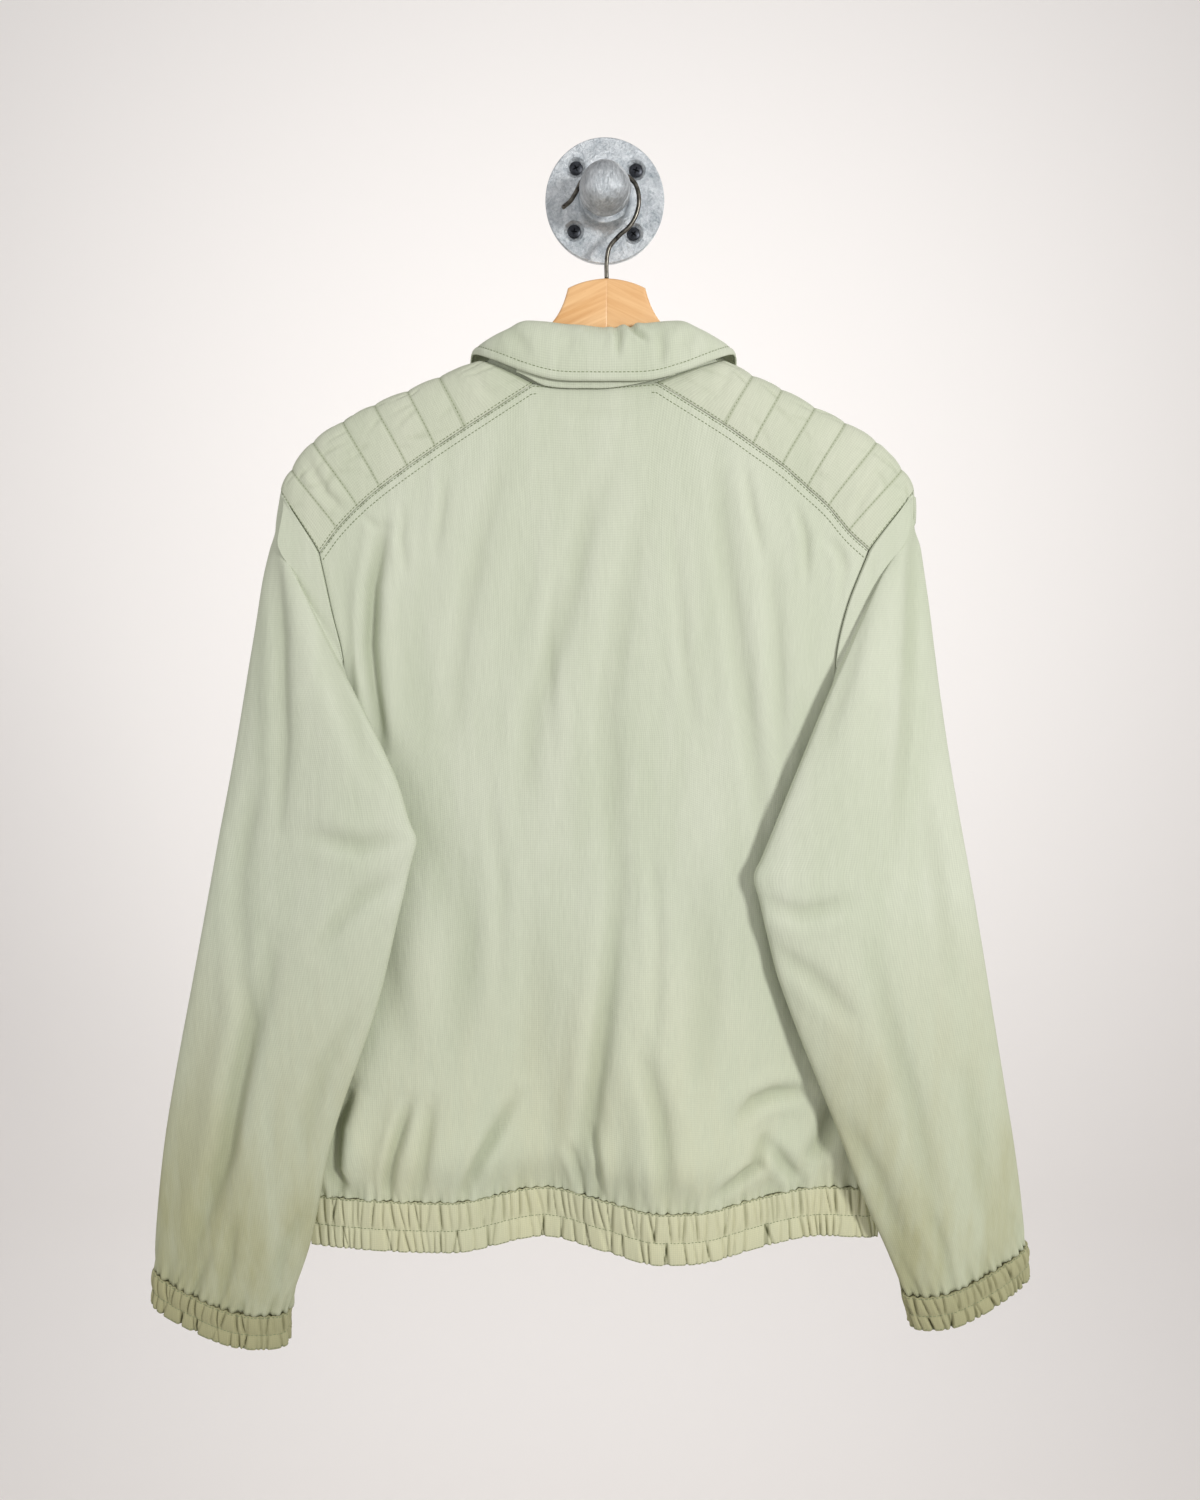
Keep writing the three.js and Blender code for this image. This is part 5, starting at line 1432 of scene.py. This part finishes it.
# A round bar swept along a path, with a dome at its open end.
def sweptBar(name, path, radius, sides):
    path = np.array(path, float)
    tangents = np.gradient(path, axis=0)
    tangents /= np.linalg.norm(tangents, axis=1, keepdims=True)
    outwards = np.array([0, 1.0, 0])
    across = np.cross(tangents, outwards)
    across /= np.linalg.norm(across, axis=1, keepdims=True)
    turn = np.linspace(0, 2 * np.pi, sides, endpoint=False)
    dome = np.linspace(0, 1, 5)[1:] * math.pi / 2
    extra = [path[-1] + tangents[-1] * radius * math.sin(f) for f in dome]
    radii = np.concatenate((np.full(len(path), radius), [max(radius * math.cos(f), 0.02) for f in dome]))
    path = np.vstack((path, extra))
    tangents = np.vstack((tangents, [tangents[-1]] * 4))
    across = np.vstack((across, [across[-1]] * 4))
    up = np.cross(across, tangents)
    rings = [
        path[k] + radii[k] * (np.outer(np.cos(turn), across[k]) + np.outer(np.sin(turn), up[k]))
        for k in range(len(path))
    ]
    faces = [
        [k * sides + j, k * sides + (j + 1) % sides, (k + 1) * sides + (j + 1) % sides, (k + 1) * sides + j]
        for k in range(len(path) - 1) for j in range(sides)
    ]
    last = (len(path) - 1) * sides
    faces += [list(range(sides))[::-1], [last + j for j in range(sides)]]
    return addMesh(name, np.concatenate(rings), faces)


route = [
    (0, -59.8), (0, -48), (2, -38), (9, -30), (17, -23), (22, -14), (23.5, -4), (20.5, 6), (12, 12.5),
    (0, 15.3), (-11.5, 13), (-18.2, 7.5), (-22.4, 0), (-26.5, -6), (-31.5, -10),
]
plan = splineThrough(route, np.linspace(0, 1, 150))
wirePath = world(plan[:, 0] + hanger["x"], np.full(len(plan), hanger["t"]), plan[:, 1])
hook = sweptBar("hanger_wire", wirePath, hanger["wireR"], hanger["wireSides"])
# Drawn steel wire, nickel-plated and dulled: fine lengthwise draw marks and a few bright spots.
wire = mottled(
    "nickel_plated_wire", 300.0, 5.0, ((0.3, "#3b3934"), (0.7, "#77736a")), (0.18, 0.42),
    Metallic=1.0, Roughness=0.26)
dressed(hook, wire, "hanger_hook", "steel_wire")
print("hanger made")


# Wall fitting.
fitting = {
    "r": 44.45, "plate": 5.5, "hubR": 19.5, "hubT": 18, "boreR": 13.6, "circleR": 31.5, "sinkR": 7.6,
    "holeR": 3, "turn": -2, "sides": 144,
}


# A body turned about the wall's normal from a closed profile of (radius, t).
def turned(name, profile, sides):
    profile = np.array(profile, float)
    turn = np.linspace(0, 2 * np.pi, sides, endpoint=False)
    rings = np.stack([
        np.outer(np.cos(turn), profile[:, 0]), np.broadcast_to(-profile[:, 1], (sides, len(profile))),
        np.outer(np.sin(turn), profile[:, 0])], axis=2).reshape(-1, 3)
    count = len(profile)
    faces = []
    for k in range(sides):
        for j in range(count - 1):
            a, b = k * count + j, ((k + 1) % sides) * count + j
            faces.append([a, a + 1, b + 1, b])
    return addMesh(name, rings, faces)


# A profile with some corners rounded: corners maps a point's number to its radius.
def rounded(profile, corners):
    result = [profile[0]]
    for k in range(1, len(profile) - 1):
        radius = corners.get(k, 0)
        a, b, c = (np.array(profile[i], float) for i in (k - 1, k, k + 1))
        if radius == 0:
            result.append(tuple(b))
            continue
        toA = (a - b) / np.linalg.norm(a - b)
        toC = (c - b) / np.linalg.norm(c - b)
        result += [tuple(p) for p in [b + toA * radius] + bezier([b + toA * radius, b, b + toC * radius], 5)]
    result.append(profile[-1])
    return result


# Joins doubled points, drops flat faces and turns the normals out.
def tidied(piece):
    shape = bmesh.new()
    shape.from_mesh(piece.data)
    bmesh.ops.remove_doubles(shape, verts=shape.verts, dist=1e-6)
    bmesh.ops.dissolve_degenerate(shape, edges=shape.edges, dist=1e-7)
    bmesh.ops.recalc_face_normals(shape, faces=shape.faces)
    shape.to_mesh(piece.data)
    shape.free()
    return piece


# Cuts the cutters out, or only applies what is there, and keeps the result as a plain mesh.
def madeFrom(piece, cutters=()):
    for cutter in cutters:
        modifier = piece.modifiers.new("cut", "BOOLEAN")
        modifier.operation = "DIFFERENCE"
        modifier.solver = "EXACT"
        modifier.object = cutter
    depsgraph = bpy.context.evaluated_depsgraph_get()
    mesh = bpy.data.meshes.new_from_object(piece.evaluated_get(depsgraph), depsgraph=depsgraph)
    piece.modifiers.clear()
    old, piece.data = piece.data, mesh
    bpy.data.meshes.remove(old)
    for cutter in cutters:
        bpy.data.objects.remove(cutter)
    piece.data.set_sharp_from_angle(angle=math.radians(35))
    return piece


def screwPlaces():
    turns = [math.radians(degrees + fitting["turn"]) for degrees in (45, 135, 225, 315)]
    return [(fitting["circleR"] * math.cos(turn), fitting["circleR"] * math.sin(turn)) for turn in turns]


def moved(piece, x, z, spin=0.0):
    place = Matrix.Translation((x * millimetre, 0, z * millimetre))
    piece.data.transform(place @ Matrix.Rotation(spin, 4, "Y"))
    return piece


# Hot-dip galvanised iron: a sandy casting under zinc, pale blue-grey with speckles and faint
# spangle, satin in the hollows and brighter where it is rubbed.
def zincFinish(name, light, dark, speckle, streak=False):
    finish, tree, shader = newFinish(name, Metallic=0.85, Roughness=0.42)
    places = objectPlaces(tree)
    drawn = (1, 1, 0.25) if streak else (1, 1, 1)
    spread = mapped(tree, places, Rotation=(0.3, 0.4, 0.9), Scale=drawn)
    spangle = addNode(tree, "ShaderNodeTexVoronoi", inputs={"Vector": spread, "Scale": 260.0})
    sand = noise(tree, spread, 520.0, Detail=6.0, Roughness=0.7)
    clouds = noise(tree, places, 70.0, Detail=4.0)
    color = ramp(tree, sand, (0.36, linear(dark)), (0.62, linear(light)))
    grey = addNode(tree, "ShaderNodeRGBToBW", inputs={"Color": spangle.outputs["Color"]}).outputs[0]
    color = blendColor(tree, speckle, color, ramp(tree, grey, (0.2, linear(dark)), (0.8, linear(light))))
    color = blendColor(tree, 0.35, color, ramp(tree, clouds, (0.35, linear(dark)), (0.65, linear(light))))
    tree.links.new(color, shader.inputs["Base Color"])
    tree.links.new(remap(tree, sand, (0.3, 0.7), (0.32, 0.55)), shader.inputs["Roughness"])
    relief = sums(tree, "ADD", sand, sums(tree, "MULTIPLY", clouds, 1.5))
    tree.links.new(bumps(tree, relief, 1.0, 0.0011), shader.inputs["Normal"])
    return finish


zincFlange = zincFinish("galvanised_cast_flange", "#e8ecee", "#89939a", 0.35)
zincCap = zincFinish("galvanised_pipe_cap", "#d8dcde", "#767d82", 0.25, streak=True)

r, plate, hubR, hubT, boreR = (fitting[key] for key in ("r", "plate", "hubR", "hubT", "boreR"))
flangeProfile = rounded([
    (0.01, 0), (r, 0), (r, plate), (hubR + 4, plate + 0.8), (hubR, plate + 4), (hubR - 1, hubT),
    (boreR, hubT), (boreR, 4), (0.01, 4),
], {1: 0.4, 2: 1.1, 3: 2.5, 4: 3, 5: 1.2, 6: 0.6})
flange = tidied(turned("flange", flangeProfile, fitting["sides"]))
sinks = []
for x, z in screwPlaces():
    sink = tidied(turned("sink", [
        (0.01, -1), (fitting["holeR"], -1), (fitting["holeR"], plate - 3.2), (fitting["sinkR"], plate + 0.4),
        (fitting["sinkR"], plate + 5), (0.01, plate + 5)], 48))
    sinks.append(moved(sink, x, z))
for sink in sinks:
    flange = tidied(madeFrom(flange, [sink]))
dressed(flange, zincFlange, "wall_flange", "zinc_coat")

# Cross-head wood screws, black oxide: dark, satin, edges rubbed to a soft shine.
blackOxide = mottled(
    "black_oxide_screw", 900.0, 3.0, ((0.3, "#1c1e22"), (0.75, "#3c4047")), Metallic=0.6, Roughness=0.38)
screw = {
    "headR": 5.0, "shankR": 2.4, "crossLong": 2.7, "crossWide": 0.55, "crossDeep": 2.0,
    "spins": (20, 65, 8, 40),
}
boxFaces = [[0, 1, 2, 3], [7, 6, 5, 4], [0, 4, 5, 1], [1, 5, 6, 2], [2, 6, 7, 3], [3, 7, 4, 0]]
for k, (x, z) in enumerate(screwPlaces()):
    body = tidied(turned(f"wood_screw_{k + 1}", rounded([
        (0.01, 0.8), (screw["shankR"], 0.8), (screw["shankR"], plate - 3.4), (screw["headR"], plate - 1.0),
        (screw["headR"] * 0.7, plate - 0.3), (0.01, plate - 0.1)], {3: 0.3}), 40))
    bars = []
    for long, wide in ((screw["crossLong"], screw["crossWide"]), (screw["crossWide"], screw["crossLong"])):
        corners = [
            (sx * long * f, -(plate + 1 - deep), sz * wide * f)
            for deep, f in ((0, 1.0), (2 + screw["crossDeep"], 0.45))
            for sx, sz in ((-1, -1), (1, -1), (1, 1), (-1, 1))
        ]
        bars.append(tidied(addMesh("bar", corners, boxFaces)))
    body = madeFrom(body, bars)
    dressed(moved(body, x, z, math.radians(screw["spins"][k])), blackOxide, f"screw_{k + 1}", "black_screw")

pipe = {
    "boreR": 10.4, "r": 13.35, "startT": 4.4, "endT": 44,
    "capEndT": 59.5, "domeR": 17.2, "domePower": 0.7,
}
bore, pipeR, startT, endT = (pipe[key] for key in ("boreR", "r", "startT", "endT"))
nippleProfile = [(bore, startT), (pipeR, startT), (pipeR, endT), (bore, endT), (bore, startT)]
dressed(madeFrom(tidied(turned("nipple", nippleProfile, 96))), zincCap, "pipe_nipple", "zinc_coat")

dome = [
    (pipe["domeR"] * math.cos(f) ** pipe["domePower"], mix(endT, pipe["capEndT"], math.sin(f)))
    for f in np.linspace(0, math.pi / 2, 18)[:-1]
]
capProfile = rounded(
    [(0.01, 44.4), (13.7, 44.4), (13.7, 34.5), (18.6, 34.5), (18.6, 40), (pipe["domeR"], 41.6)],
    {3: 1.0, 4: 1.0})
capProfile += dome + [(0.01, pipe["capEndT"])]
dressed(madeFrom(tidied(turned("cap", capProfile, 96))), zincCap, "pipe_cap", "zinc_coat")
print("wall fitting made")


# Floor, backdrop and light.
stage = {
    "floorZ": -4.0, "near": -9, "far": 3.2, "wide": 9, "high": 5, "bend": 0.8,
    "floor": "#e9e6e3", "world": "#f4f1f2", "worldStrength": 0.53,
}


def plainFinish(name, code):
    finish, tree, shader = newFinish(name, Roughness=0.95)
    shader.inputs["Base Color"].default_value = linear(code)
    shader.inputs["Specular IOR Level"].default_value = 0.1
    return finish


wide, far, low = stage["wide"], stage["far"], stage["floorZ"]
radius = stage["bend"]
bend = [
    (far + radius * math.sin(a), low + radius * (1 - math.cos(a))) for a in np.linspace(0.1, math.pi / 2, 12)]
outline = [(stage["near"], low), (far, low)] + bend + [(far + radius, stage["high"])]
corners = [(side * wide * 1000, y * 1000, z * 1000) for y, z in outline for side in (-1, 1)]
strips = [[2 * k, 2 * k + 1, 2 * k + 3, 2 * k + 2] for k in range(len(outline) - 1)]
floor = addMesh("floor", corners, strips)
floor.data.materials.append(plainFinish("matt_paint", stage["floor"]))

studio = bpy.data.worlds.new("studio")
studio.use_nodes = True
background = studio.node_tree.nodes["Background"]
background.inputs["Color"].default_value = linear(stage["world"])
background.inputs["Strength"].default_value = stage["worldStrength"]
scene.world = studio
scene.view_settings.view_transform = "Standard"

lamps = [
    {"name": "key", "at": (1.5, -2.0, 0.1), "aim": (0.0, -0.03, -0.45), "size": 0.4, "power": 42},
    {"name": "fill", "at": (-1.9, -1.6, 0.1), "aim": (0, -0.03, -0.45), "size": 1.6, "power": 14},
    {"name": "top", "at": (0.1, -1.1, 1.5), "aim": (0, 0, -0.35), "size": 0.8, "power": 2},
    {"name": "rear", "at": (0.6, 2.2, 0.6), "aim": (0, 0, -0.5), "size": 1.8, "power": 30},
    {"name": "backdrop", "at": (0, 0.6, 0.0), "aim": (0, 3.4, -0.7), "size": 4, "power": 106},
]
for lamp in lamps:
    data = bpy.data.lights.new(lamp["name"], "AREA")
    data.size = lamp["size"]
    data.energy = lamp["power"]
    light = bpy.data.objects.new(lamp["name"], data)
    light.location = lamp["at"]
    light.rotation_euler = (Vector(lamp["aim"]) - Vector(lamp["at"])).to_track_quat("-Z", "Y").to_euler()
    scene.collection.objects.link(light)
print("stage made")
